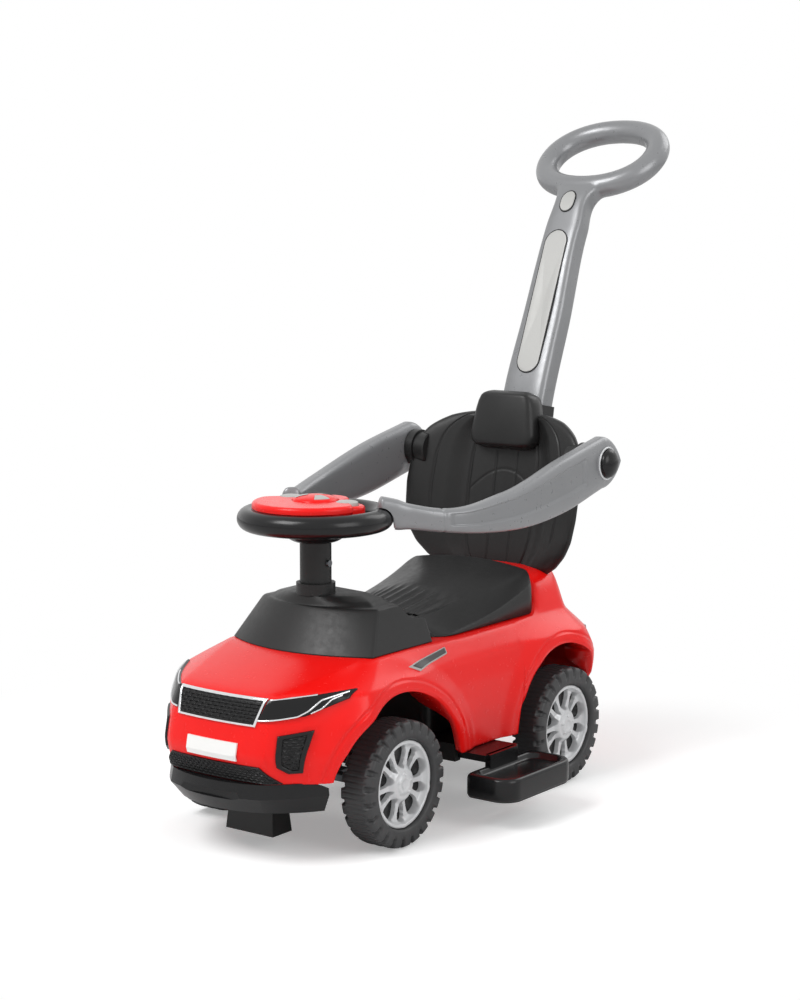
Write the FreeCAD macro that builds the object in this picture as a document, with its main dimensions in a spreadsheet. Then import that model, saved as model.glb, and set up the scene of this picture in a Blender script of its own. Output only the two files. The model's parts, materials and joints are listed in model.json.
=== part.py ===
import FreeCAD, Part
import os
import re

import Sketcher

# Push car with a parent handle, in millimetres.
# +X is forward, +Y is the car's left and +Z is up.
# The origin is on the floor, under the middle of the rear axle.

SIZES = {
    # Running gear
    "wheelbase": 344.0,
    "wheel_plane": 148.0,
    "axle_radius": 5.0,
    "running_gap": 0.05,
    "part_gap": 0.3,
    "overrun": 20.0,
    # Tyres and rims
    "tyre_radius": 73.7,
    "tyre_width": 42.0,
    "tyre_bevel": 7.0,
    "lug_gap": 6.0,
    "lug_depth": 8.0,
    "lug_length": 11.0,
    "rim_radius": 50.7,
    "rim_width": 38.0,
    "rim_wall": 5.0,
    "rim_face": 6.0,
    "rim_dish": 5.0,
    "hub_radius": 15.0,
    "hub_cap": 4.0,
    "window_inner": 18.0,
    "window_outer": 43.0,
    "wide_window_angle": 15.0,
    "slot_window_angle": 6.0,
    "spoke_pitch": 72.0,
    # Steering
    "kingpin_offset": 80.0,
    "kingpin_radius": 6.0,
    "knuckle_radius": 11.0,
    "knuckle_height": 30.0,
    "steering_arm": 35.0,
    "arm_width": 16.0,
    "arm_thickness": 8.0,
    "arm_drop": 6.0,
    "tie_rod_width": 14.0,
    "link_pin_radius": 4.0,
    "open_pivot_gap": 0.6,
    "column_x": 325.0,
    "rod_radius": 6.0,
    "column_radius": 18.5,
    "collar_radius": 23.0,
    "collar_height": 13.0,
    "wheel_height": 364.5,
    "wheel_ring_radius": 78.3,
    "wheel_tube_radius": 13.0,
    "wheel_hub_radius": 37.0,
    "wheel_hub_depth": 15.0,
    "spoke_width": 30.0,
    "spoke_thickness": 12.0,
    "panel_radius": 68.0,
    "panel_height": 14.0,
    "panel_front": 26.0,
    "panel_round": 8.0,
    "lobe_offset": 42.0,
    "lobe_setback": 6.0,
    "lobe_radius": 21.0,
    "horn_radius": 27.0,
    "button_radius": 13.0,
    "button_rise": 7.0,
    "button_depth": 8.0,
    "button_travel": 3.0,
    "column_screw_radius": 4.0,
    "column_screw_depth": 3.0,
    # Body shell
    "nose_reach": 512.0,
    "tail_reach": 112.0,
    "body_half": 141.0,
    "sill_height": 79.0,
    "deck_height": 216.0,
    "shell_wall": 4.0,
    "arch_top": 178.0,
    "front_arch_front": 97.0,
    "front_arch_rear": 134.0,
    "rear_arch_front": 88.0,
    "rear_arch_rear": 90.0,
    "arch_inner": 98.0,
    "flare_width": 13.0,
    "flare_proud": 6.0,
    "front_bulge_share": 0.05,
    "rear_bulge_share": 0.2,
    "waist_place_share": 0.45,
    "boss_radius": 8.0,
    "boss_offset": 84.0,
    "front_boss_x": 236.0,
    "rear_boss_x": 18.0,
    # Rear hump that carries the backrest
    "hump_height": 262.0,
    "hump_front": 2.0,
    "hump_rear": 70.0,
    "hump_half": 82.0,
    "hump_flare": 30.0,
    "hump_corner": 26.0,
    # Under-frame
    "pan_height": 84.0,
    "pan_thickness": 5.0,
    "pan_half": 96.0,
    "pan_neck": 48.0,
    "pan_rear": 88.0,
    "pan_front": 462.0,
    "axle_block_width": 26.0,
    "axle_block_length": 22.0,
    "axle_block_inner": 66.0,
    "beam_width": 26.0,
    "beam_thickness": 12.0,
    "rail_wall": 6.0,
    "rail_drop": 18.0,
    "rail_lip": 5.0,
    "rail_half": 116.0,
    # Footrests
    "tongue_middle": 165.0,
    "tongue_width": 70.0,
    "tongue_thickness": 8.0,
    "tongue_reach": 62.0,
    "footrest_outer": 216.0,
    "footrest_inner": 151.0,
    "footrest_front": 238.0,
    "footrest_rear": 94.0,
    "footrest_top": 64.0,
    "footrest_height": 28.0,
    "footrest_corner": 24.0,
    "footrest_rim": 9.0,
    "footrest_recess": 7.0,
    "footrest_wall": 4.0,
    # Front trim
    "trim_proud": 3.0,
    "grille_half": 63.0,
    "grille_slant": 7.0,
    "grille_low": 158.0,
    "grille_high": 188.0,
    "grille_border": 5.0,
    "mesh_proud": 1.6,
    "mesh_cell": 4.2,
    "mesh_pitch": 10.0,
    "mesh_row": 8.7,
    "light_tip_half": 131.0,
    "light_low": 163.0,
    "light_mid_half": 100.0,
    "light_mid_low": 169.0,
    "light_tip_low": 187.0,
    "light_tip_high": 196.0,
    "light_rear_x": 412.0,
    "vent_inner": 80.0,
    "vent_outer": 106.0,
    "vent_low": 108.0,
    "vent_high": 155.0,
    "plate_half": 36.0,
    "plate_low": 119.0,
    "plate_high": 139.0,
    "plate_proud": 2.0,
    "band_half_top": 64.0,
    "band_half_low": 84.0,
    "band_high": 116.0,
    "bumper_nose": 520.0,
    "bumper_top": 95.0,
    "bumper_low": 60.0,
    "bumper_wall": 6.0,
    "bumper_tuck": 14.0,
    "bumper_gap": 3.0,
    "bumper_end_half": 114.0,
    "bumper_corner_half": 66.0,
    "tail_light_inner": 78.0,
    "tail_light_outer": 118.0,
    "tail_light_low": 168.0,
    "tail_light_high": 186.0,
    "foot_half": 35.0,
    "foot_front": 448.0,
    "foot_length": 34.0,
    "foot_clearance": 17.0,
    "foot_taper": 6.0,
    # Dashboard
    "dash_rear": 234.0,
    "dash_base_half": 105.0,
    "dash_base_front": 384.0,
    "dash_base_corner": 351.0,
    "dash_top_half": 87.0,
    "dash_top_front": 352.0,
    "dash_top_corner": 319.0,
    "dash_top": 263.0,
    "dash_crown": 13.0,
    "dash_crown_inset": 22.0,
    "dash_sill": 243.0,
    "dash_step_rear": 256.0,
    "dash_step_front": 296.0,
    "dash_step_rise": 6.0,
    "dash_wall": 4.0,
    # Seat and bin
    "seat_rear": 8.0,
    "seat_front": 224.0,
    "seat_half": 104.0,
    "seat_corner": 34.0,
    "seat_middle": 120.0,
    "seat_front_top": 240.0,
    "seat_front_shoulder": 234.0,
    "seat_front_half": 48.0,
    "seat_middle_top": 256.0,
    "seat_middle_shoulder": 243.0,
    "seat_middle_half": 60.0,
    "seat_rear_top": 272.0,
    "seat_rear_shoulder": 257.0,
    "seat_rear_half": 90.0,
    "seat_wall": 4.0,
    "channel_radius": 7.0,
    "channel_depth": 2.2,
    "channel_length": 108.0,
    "channel_pitch": 14.0,
    "channel_front": 228.0,
    "hinge_height": 223.5,
    "hinge_x": 214.0,
    "hinge_radius": 4.0,
    "hinge_half": 28.0,
    "hinge_pin_radius": 2.0,
    "hinge_pin_length": 18.0,
    "hinge_ear": 10.0,
    "hinge_ear_radius": 5.0,
    "lip_height": 8.0,
    "bin_rear": 34.0,
    "bin_front": 200.0,
    "bin_half": 74.0,
    "bin_floor": 92.0,
    "bin_wall": 3.0,
    "bin_flange": 8.0,
    "bin_corner": 16.0,
    # Backrest, headrest and handle socket
    "back_x": -50.0,
    "back_lean": 10.0,
    "back_curve": 260.0,
    "back_thickness": 14.0,
    "back_height": 192.0,
    "back_half": 134.0,
    "back_foot_half": 84.0,
    "back_top_half": 44.0,
    "back_wide_share": 0.48,
    "back_shoulder_share": 0.87,
    "back_shoulder_half": 119.0,
    "back_channel_radius": 6.0,
    "back_channel_depth": 2.0,
    "back_channel_inner": 48.0,
    "back_channel_outer": 96.0,
    "back_channel_foot": 34.0,
    "back_channel_length": 120.0,
    "head_low": 150.0,
    "head_height": 76.0,
    "head_half_low": 51.0,
    "head_half_top": 40.0,
    "head_thickness": 26.0,
    "head_crown": 8.0,
    "head_crown_inset": 10.0,
    "head_corner": 16.0,
    "post_width": 60.0,
    "post_thickness": 32.0,
    "post_corner": 9.0,
    "socket_wall": 4.0,
    "socket_foot": 22.0,
    "socket_top": 206.0,
    "socket_floor": 6.0,
    # Push handle
    "post_mid_x": -166.0,
    "post_mid_z": 575.0,
    "post_mid_width": 55.0,
    "post_mid_lean": 21.0,
    "post_high_x": -214.0,
    "post_high_z": 690.0,
    "post_high_width": 47.0,
    "post_high_lean": 28.0,
    "post_end_width": 44.0,
    "post_end_thickness": 27.0,
    "loop_rear": 352.5,
    "loop_top": 822.0,
    "loop_rise": 37.0,
    "loop_half_width": 81.0,
    "loop_half_length": 63.5,
    "loop_end_radius": 48.0,
    "loop_tube_radius": 16.0,
    "panel_plate": 2.0,
    "panel_plate_width": 33.0,
    "panel_plate_foot": 504.0,
    "panel_plate_length": 186.0,
    "badge_half": 10.0,
    "badge_height": 12.0,
    "badge_middle": 727.0,
    # Guard arms
    "pivot_x": -56.0,
    "pivot_z": 402.0,
    "pivot_radius": 33.0,
    "pin_radius": 6.0,
    "arm_inner": 137.0,
    "arm_rear_thickness": 26.0,
    "arm_tip_thickness": 20.0,
    "arm_corner_share": 0.32,
    "saddle_gap": 1.0,
    "spacer_radius": 24.0,
    "spacer_thickness": 11.0,
    "back_boss_radius": 21.0,
    "back_boss_length": 16.0,
    "knob_radius": 18.0,
    "knob_height": 12.0,
    "knob_step": 3.0,
}

# Plan outline of the body shell at each level, from the sill to the deck, as shares of
# the rise, nose reach, half width, wheelbase, half width, half width, tail reach and half width.
HULL_LEVEL_SHARES = (
    # rise, nose, nose half, corner place, side, waist, tail, tail half
    (0.00, 0.975, 0.49, 1.180, 0.945, 0.870, 0.86, 0.50),
    (0.33, 1.000, 0.50, 1.180, 0.985, 0.910, 1.00, 0.53),
    (0.59, 0.985, 0.49, 1.180, 1.000, 0.920, 0.98, 0.53),
    (0.81, 0.962, 0.46, 1.170, 0.955, 0.890, 0.89, 0.50),
    (1.00, 0.760, 0.70, 1.000, 0.770, 0.765, 0.62, 0.45),
)
NOSE_DROP_SHARES = (0.08, 0.08, 0.08, 0.08, 0.29)
REAR_PLACE_SHARE = 0.36

# Guard arm, from pivot to saddle: shares of the run to the saddle, the inward swing,
# the fall of the middle line, the full depth and the thickness, with the turn in degrees.
ARM_STATION_SHARES = (
    # run, swing, fall, depth, taper, turn share
    (0.00, 0.00, 0.00, 1.00, 0.0, 0.00),
    (0.27, 0.00, 0.55, 1.02, 0.1, 0.05),
    (0.60, 0.10, 1.06, 0.69, 0.4, 0.28),
    (0.85, 0.45, 1.10, 0.42, 0.8, 0.72),
    (1.00, 1.00, 0.80, 0.50, 1.0, 1.00),
)

# Dome of a button or knob, as shares of its radius and rise.
DOME_STEP_SHARES = ((0.80, 0.52), (0.45, 0.88))

TUBE_SIDES = 12
LUG_COUNT = 22
SPOKE_PAIRS = 5
SEAT_CHANNELS = 7
MESH_COLUMNS = 11
MESH_ROWS = 2

V = FreeCAD.Vector
TURNS = {
    "X": FreeCAD.Rotation(V(0, 1, 0), 90),
    "Y": FreeCAD.Rotation(V(1, 0, 0), -90),
    "Z": FreeCAD.Rotation(),
}

doc = FreeCAD.newDocument("push_car")
sheet = doc.addObject("Spreadsheet::Sheet", "sizes")
nodes = []


def fill_sheet():
    """Writes each driving size in its own row, under its alias."""
    for row, (alias, number) in enumerate(SIZES.items(), 1):
        sheet.set(f"A{row}", alias)
        sheet.set(f"B{row}", str(number))
        sheet.setAlias(f"B{row}", alias)
    doc.recompute()


def expression(text):
    """The text with each size's name pointed at the sheet."""
    return re.sub(r"[a-z][a-z_]+", lambda word: f"sizes.{word[0]}" if word[0] in SIZES else word[0], text)


def size(text):
    return float(sheet.evalExpression(expression(text)))


def bind(item, **properties):
    """Ties properties to sizes; a double underscore in a name stands for a dot."""
    for name, text in properties.items():
        item.setExpression(name.replace("__", "."), expression(text))


def put(item, x="0", y="0", z="0", axis=None, angle=None):
    """Places an item, turned about an axis by an angle from the sheet."""
    if axis:
        item.Placement = FreeCAD.Placement(V(), FreeCAD.Rotation(axis, size(angle)))
        bind(item, Placement__Rotation__Angle=angle)
    bind(item, Placement__Base__x=x, Placement__Base__y=y, Placement__Base__z=z)
    return item


def node(item, label):
    item.Label = label
    nodes.append(item)
    return item


def new_body(name):
    return doc.addObject("PartDesign::Body", name)


def origin_of(body, role):
    return next(item for item in body.Origin.OriginFeatures if item.Role == role)


def sketch_on(body, plane, place="0", across="0", up="0", turn=None):
    """A sketch on one of the body's planes, moved along that plane's normal axis to a place."""
    sketch = body.newObject("Sketcher::SketchObject", "sketch")
    sketch.AttachmentSupport = [(origin_of(body, f"{plane}_Plane"), "")]
    sketch.MapMode = "FlatFace"
    if turn:
        spin = FreeCAD.Rotation(V(0, 1, 0), size(turn))
        sketch.AttachmentOffset = FreeCAD.Placement(V(), spin)
        bind(sketch, AttachmentOffset__Rotation__Angle=turn)
    depth = f"-({place})" if plane == "XZ" else place
    bind(sketch, AttachmentOffset__Base__x=across, AttachmentOffset__Base__y=up)
    bind(sketch, AttachmentOffset__Base__z=depth)
    return sketch


def constrain(sketch, rules, lengths):
    """Adds plain rules, then lengths given as (kind, curve, point, expression)."""
    drawn = [Sketcher.Constraint(*rule) for rule in rules]
    for kind, curve, point, text in lengths:
        target = (curve,) if point is None else (curve, point)
        drawn.append(Sketcher.Constraint(kind, *target, size(text)))
    numbers = sketch.addConstraint(drawn)
    for number, (kind, curve, point, text) in zip(numbers[len(rules):], lengths):
        if text != "0":
            sketch.renameConstraint(number, f"length{number}")
            sketch.setExpression(f"Constraints.length{number}", expression(text))


def draw(sketch, *corners):
    """A closed outline: a corner is reached by a line, or by an arc through a second point."""
    spots = [V(size(corner[0]), size(corner[1])) for corner in corners]
    first = sketch.GeometryCount
    ends, rules, lengths, middles = [], [], [], []
    for number, corner in enumerate(corners):
        start, end = spots[number - 1], spots[number]
        if len(corner) == 2:
            sketch.addGeometry(Part.LineSegment(start, end))
            ends.append((1, 2))
            continue
        middle = V(size(corner[2]), size(corner[3]))
        turns_left = (middle - start).cross(end - middle).z > 0
        arc = Part.ArcOfCircle(start, middle, end) if turns_left else Part.ArcOfCircle(end, middle, start)
        sketch.addGeometry(arc)
        ends.append((1, 2) if turns_left else (2, 1))
        middles.append((number, middle, corner[2:]))
    for number, corner in enumerate(corners):
        after = (number + 1) % len(corners)
        curve, point = first + number, ends[number][1]
        rules.append(("Coincident", curve, point, first + after, ends[after][0]))
        lengths.append(("DistanceX", curve, point, corner[0]))
        lengths.append(("DistanceY", curve, point, corner[1]))
    for number, middle, texts in middles:
        dot = sketch.addGeometry(Part.Point(middle), True)
        rules.append(("PointOnObject", dot, 1, first + number))
        lengths.append(("DistanceX", dot, 1, texts[0]))
        lengths.append(("DistanceY", dot, 1, texts[1]))
    constrain(sketch, rules, lengths)
    return sketch


def ring(sketch, x, y, radius):
    curve = sketch.addGeometry(Part.Circle(V(size(x), size(y)), V(0, 0, 1), size(radius)))
    constrain(sketch, [], [("DistanceX", curve, 3, x), ("DistanceY", curve, 3, y),
                           ("Radius", curve, None, radius)])
    return sketch


def rounded(sketch, left, right, low, high, corner):
    """A rectangle with rounded corners, from its four sides."""
    corner = f"({corner})"
    near = f"{corner} * (1 - cos(45))"
    return draw(
        sketch,
        (f"{left} + {corner}", low, f"{left} + {near}", f"{low} + {near}"),
        (f"{right} - {corner}", low),
        (right, f"{low} + {corner}", f"{right} - {near}", f"{low} + {near}"),
        (right, f"{high} - {corner}"),
        (f"{right} - {corner}", high, f"{right} - {near}", f"{high} - {near}"),
        (f"{left} + {corner}", high),
        (left, f"{high} - {corner}", f"{left} + {near}", f"{high} - {near}"),
        (left, f"{low} + {corner}"),
    )


def chamfered(sketch, left, right, low, high, corner):
    """A rectangle with its corners cut off, from its four sides."""
    return draw(
        sketch,
        (f"{left} + {corner}", low), (f"{right} - {corner}", low),
        (right, f"{low} + {corner}"), (right, f"{high} - {corner}"),
        (f"{right} - {corner}", high), (f"{left} + {corner}", high),
        (left, f"{high} - {corner}"), (left, f"{low} + {corner}"),
    )


def tube_section(sketch, middle, radius):
    """A many-sided section of a round tube, with its middle on the sketch's first axis."""
    turns = [step * 360 / TUBE_SIDES for step in range(TUBE_SIDES)]
    return draw(sketch, *[(f"{middle} + ({radius}) * cos({turn})",
                           f"({radius}) * sin({turn})") for turn in turns])


def box_outline(sketch, left, right, low, high):
    return draw(sketch, (left, low), (right, low), (right, high), (left, high))


def pad(body, sketch, length, reverse=False, both=False):
    feature = body.newObject("PartDesign::Pad", "pad")
    feature.Profile = sketch
    bind(feature, Length=length)
    feature.Reversed = reverse
    if both:
        feature.SideType = "Symmetric"
    return feature


def pocket(body, sketch, length=None, reverse=False):
    """A pocket of a given depth, or right through the body both ways."""
    feature = body.newObject("PartDesign::Pocket", "pocket")
    feature.Profile = sketch
    if length:
        bind(feature, Length=length)
        feature.Reversed = reverse
    else:
        feature.SideType = "Symmetric"
        feature.Type = "ThroughAll"
    return feature


def revolve(body, sketch, axis):
    feature = body.newObject("PartDesign::Revolution", "revolution")
    feature.Profile = sketch
    feature.ReferenceAxis = (sketch, [axis])
    feature.Angle = 360
    return feature


def loft(body, sketches, cut=False, ruled=True):
    kind = "PartDesign::SubtractiveLoft" if cut else "PartDesign::AdditiveLoft"
    feature = body.newObject(kind, "loft")
    feature.Profile = sketches[0]
    feature.Sections = sketches[1:]
    feature.Ruled = ruled
    return feature


def polar(body, originals, role, count):
    feature = body.newObject("PartDesign::PolarPattern", "pattern")
    feature.Originals = originals
    feature.Axis = (origin_of(body, role), [""])
    feature.Angle = 360
    feature.Occurrences = count
    body.Tip = feature
    return feature


def mirrored(body, originals, plane):
    feature = body.newObject("PartDesign::Mirrored", "mirrored")
    feature.Originals = originals
    feature.MirrorPlane = (origin_of(body, f"{plane}_Plane"), [""])
    body.Tip = feature
    return feature


def cylinder(name, radius, length, x, y, z, along):
    item = doc.addObject("Part::Cylinder", name)
    bind(item, Radius=radius, Height=length)
    item.Placement = FreeCAD.Placement(V(), TURNS[along])
    return put(item, x, y, z)


def hoop(name, large, small, x, y, z):
    """A level hoop of round tube."""
    body = new_body(name)
    revolve(body, tube_section(sketch_on(body, "XZ"), large, small), "V_Axis")
    return put(body, x, y, z)


def slab(name, left, right, low, high, floor, top):
    item = doc.addObject("Part::Box", name)
    bind(item, Length=f"({right}) - ({left})", Width=f"({high}) - ({low})", Height=f"({top}) - ({floor})")
    return put(item, left, low, floor)


def boolean(kind, name, base, tool):
    item = doc.addObject(f"Part::{kind}", name)
    item.Base = base
    item.Tool = tool
    return item


def join(name, *pieces):
    item = doc.addObject("Part::MultiFuse", name)
    item.Shapes = list(pieces)
    return item


def group(name, *pieces):
    """Separate solids kept as one item."""
    item = doc.addObject("Part::Compound", name)
    item.Links = list(pieces)
    return item


def mirror(source, name):
    """The same piece on the car's right."""
    item = doc.addObject("Part::Mirroring", name)
    item.Source = source
    item.Normal = V(0, 1, 0)
    return item


def both_sides(source, label):
    """A left piece and its mirrored right one, each as a node."""
    node(source, f"{label}_left")
    node(mirror(source, f"{label}_mirror"), f"{label}_right")


# Wheels

def make_tyre():
    """A tyre with a flat tread and open gaps between the lugs of both shoulders."""
    body = new_body("tyre")
    half = "tyre_width / 2"
    section = draw(
        sketch_on(body, "YZ"),
        (f"-{half}", "rim_radius"),
        (f"-{half}", "tyre_radius - tyre_bevel"),
        (f"tyre_bevel - {half}", "tyre_radius"),
        (f"{half} - tyre_bevel", "tyre_radius"),
        (half, "tyre_radius - tyre_bevel"),
        (half, "rim_radius"),
    )
    revolve(body, section, "H_Axis")
    gaps = []
    for place, reverse in ((half, True), (f"-{half}", False)):
        outline = box_outline(sketch_on(body, "XZ", place), "-lug_gap / 2", "lug_gap / 2",
                              "tyre_radius - lug_depth", "tyre_radius + overrun")
        gaps.append(pocket(body, outline, "lug_length", reverse))
    polar(body, gaps, "Y_Axis", LUG_COUNT)
    return body


def make_rim():
    """A dished rim with paired spokes and a closed hub."""
    body = new_body("rim")
    edge = "rim_width / 2"
    inner = "rim_radius - rim_wall"
    face = f"{edge} - rim_dish"
    back = f"{edge} - rim_dish - rim_face"
    bore = "axle_radius + running_gap"
    section = draw(
        sketch_on(body, "YZ"),
        (f"-{edge}", "rim_radius"),
        (edge, "rim_radius"),
        (edge, inner),
        (face, inner),
        (face, "hub_radius"),
        (edge, "hub_radius"),
        (edge, "0"),
        (f"{edge} - hub_cap", "0"),
        (f"{edge} - hub_cap", bore),
        (f"-{edge}", bore),
        (f"-{edge}", "hub_radius"),
        (back, "hub_radius"),
        (back, inner),
        (f"-{edge}", inner),
    )
    revolve(body, section, "H_Axis")
    windows = []
    for middle, half in (("0", "wide_window_angle"), ("spoke_pitch / 2", "slot_window_angle")):
        corners = []
        for radius, sweep in (("window_inner", f"-{half}"), ("window_outer", f"-{half}"),
                              ("window_outer", half), ("window_inner", half)):
            angle = f"{middle} + {sweep}"
            corners.append((f"{radius} * sin({angle})", f"{radius} * cos({angle})"))
        windows.append(pocket(body, draw(sketch_on(body, "XZ"), *corners)))
    polar(body, windows, "Y_Axis", SPOKE_PAIRS)
    return body


def make_wheels():
    """Four wheels from one tyre and one rim, those on the right turned about."""
    tyre, rim = make_tyre(), make_rim()
    for end, x in (("front", "wheelbase"), ("rear", "0")):
        for name, side, turn in (("left", 1, "0"), ("right", -1, "180")):
            for kind, pattern in (("tyre", tyre), ("rim", rim)):
                copy = group(f"{kind}_copy", pattern)
                put(copy, x, f"{side} * (wheel_plane - tyre_width / 2)", "tyre_radius", V(0, 0, 1), turn)
                node(copy, f"{kind}_{end}_{name}")


AXLE_END = "wheel_plane - tyre_width / 2 + rim_width / 2 - hub_cap - part_gap"


def make_rear_axle():
    reach = f"({AXLE_END})"
    axle = cylinder("axle", "axle_radius", f"2 * {reach}", "0", f"-{reach}", "tyre_radius", "Y")
    node(axle, "rear_axle")


# Steering

ARM_TOP = "tyre_radius - arm_drop"
ARM_LOW = f"{ARM_TOP} - arm_thickness"
LINK_TOP = f"{ARM_LOW} - part_gap"
LINK_LOW = f"{LINK_TOP} - arm_thickness"
BEAM_LOW = "pan_height + pan_thickness"


def make_knuckle(label, side, hole):
    """A kingpin block with its stub axle and a steering arm that points rearward."""
    body = new_body(label)
    middle = f"{side} * kingpin_offset"
    low = f"{BEAM_LOW} - part_gap - knuckle_height"
    pad(body, ring(sketch_on(body, "XY", low), "wheelbase", middle, "knuckle_radius"), "knuckle_height")
    pin = ring(sketch_on(body, "XY", f"{BEAM_LOW} - part_gap"), "wheelbase", middle, "kingpin_radius")
    pad(body, pin, "beam_thickness + part_gap")
    stub = ring(sketch_on(body, "XZ", middle), "wheelbase", "tyre_radius", "axle_radius")
    pad(body, stub, f"{AXLE_END} - kingpin_offset", reverse=side > 0)
    end = "wheelbase - steering_arm"
    arm = draw(
        sketch_on(body, "XY", ARM_LOW),
        ("wheelbase", f"{middle} - arm_width / 2"),
        ("wheelbase", f"{middle} + arm_width / 2"),
        (end, f"{middle} + arm_width / 2"),
        (end, f"{middle} - arm_width / 2", f"{end} - arm_width / 2", middle),
    )
    pad(body, arm, "arm_thickness")
    pocket(body, ring(sketch_on(body, "XY"), end, middle, hole))
    return node(body, label)


def make_tie_rod():
    """The bar between the steering arms, with its two pins and a tab for the crank."""
    body = new_body("tie_rod")
    bar_x = "wheelbase - steering_arm"
    tab_x = "column_x - steering_arm"
    half = "tie_rod_width / 2"
    bar = rounded(sketch_on(body, "XY", LINK_LOW), f"{bar_x} - {half}", f"{bar_x} + {half}",
                  "-kingpin_offset - arm_width / 2", "kingpin_offset + arm_width / 2", "tie_rod_width / 3")
    pad(body, bar, "arm_thickness")
    tab = box_outline(sketch_on(body, "XY", LINK_LOW), f"{tab_x} - arm_width / 2", bar_x, "-arm_width",
                      "arm_width")
    pad(body, tab, "arm_thickness")
    pins = sketch_on(body, "XY", LINK_TOP)
    for side in ("", "-"):
        ring(pins, bar_x, f"{side}kingpin_offset", "link_pin_radius")
    pad(body, pins, "arm_thickness + part_gap")
    hole = ring(sketch_on(body, "XY"), tab_x, "0", "link_pin_radius + open_pivot_gap")
    pocket(body, hole)
    node(body, "tie_rod")


def make_steering_rod():
    """The rod down the column, with its crank and crank pin at the foot."""
    body = new_body("steering_rod")
    crank_x = "column_x - steering_arm"
    foot = f"{ARM_LOW}"
    rod = ring(sketch_on(body, "XY", foot), "column_x", "0", "rod_radius")
    pad(body, rod, f"wheel_height - wheel_tube_radius - ({foot})")
    crank = draw(
        sketch_on(body, "XY", foot),
        ("column_x", "-arm_width / 2", "column_x + arm_width / 2", "0"),
        (crank_x, "-arm_width / 2"),
        (crank_x, "arm_width / 2", f"{crank_x} - arm_width / 2", "0"),
        ("column_x", "arm_width / 2"),
    )
    pad(body, crank, "arm_thickness")
    pin = ring(sketch_on(body, "XY", foot), crank_x, "0", "link_pin_radius")
    pad(body, pin, "arm_thickness + part_gap", reverse=True)
    node(body, "steering_rod")


COLLAR_LOW = "dash_top + dash_crown"
TUBE_TOP = "wheel_height - wheel_tube_radius - wheel_hub_depth"


def make_column():
    """The sleeve round the rod, the ring that guides it and the screw that holds it."""
    tube = new_body("tube")
    foot = f"{COLLAR_LOW} - dash_wall"
    outline = ring(sketch_on(tube, "XY", foot), "column_x", "0", "column_radius")
    ring(outline, "column_x", "0", "rod_radius")
    pad(tube, outline, f"{TUBE_TOP} - ({foot})")
    node(tube, "column_tube")
    collar = new_body("collar")
    outline = ring(sketch_on(collar, "XY", COLLAR_LOW), "column_x", "0", "collar_radius")
    ring(outline, "column_x", "0", "column_radius + running_gap")
    pad(collar, outline, "collar_height")
    node(collar, "column_collar")
    screw_z = f"({TUBE_TOP} + {COLLAR_LOW} + collar_height) / 2"
    head = cylinder("screw", "column_screw_radius", "column_screw_depth + column_radius - rod_radius",
                    "column_x", "rod_radius", screw_z, "Y")
    node(boolean("Cut", "screw_head", head, tube), "column_screw")


def make_steering_wheel():
    """A round rim on three spokes over a bowl-shaped hub."""
    rim = hoop("wheel_ring", "wheel_ring_radius", "wheel_tube_radius", "column_x", "0", "wheel_height")
    hub = new_body("wheel_hub")
    top = "wheel_height"
    low = TUBE_TOP
    section = draw(
        sketch_on(hub, "XZ"),
        ("0", low),
        ("column_radius", low),
        ("wheel_hub_radius", f"{low} + wheel_hub_depth", "wheel_hub_radius - column_radius / 4",
         f"{low} + wheel_hub_depth / 3"),
        ("wheel_hub_radius", top),
        ("0", top),
    )
    revolve(hub, section, "V_Axis")
    spokes = []
    for name, angle in (("left", "90"), ("rear", "180"), ("right", "270")):
        spoke = slab(f"spoke_{name}", "0", "wheel_ring_radius", "-spoke_width / 2", "spoke_width / 2",
                     "-spoke_thickness / 2", "spoke_thickness / 2")
        put(spoke, f"column_x + spoke_width / 2 * sin({angle})", f"-spoke_width / 2 * cos({angle})",
            "wheel_height - spoke_thickness", V(0, 0, 1), angle)
        spokes.append(spoke)
    put(hub, "column_x")
    whole = join("wheel_whole", rim, hub, *spokes)
    rod_hole = cylinder("wheel_rod_hole", "rod_radius", "wheel_height - wheel_tube_radius", "column_x",
                        "0", "0", "Z")
    node(boolean("Cut", "wheel", whole, rod_hole), "steering_wheel")
    return rim


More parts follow.
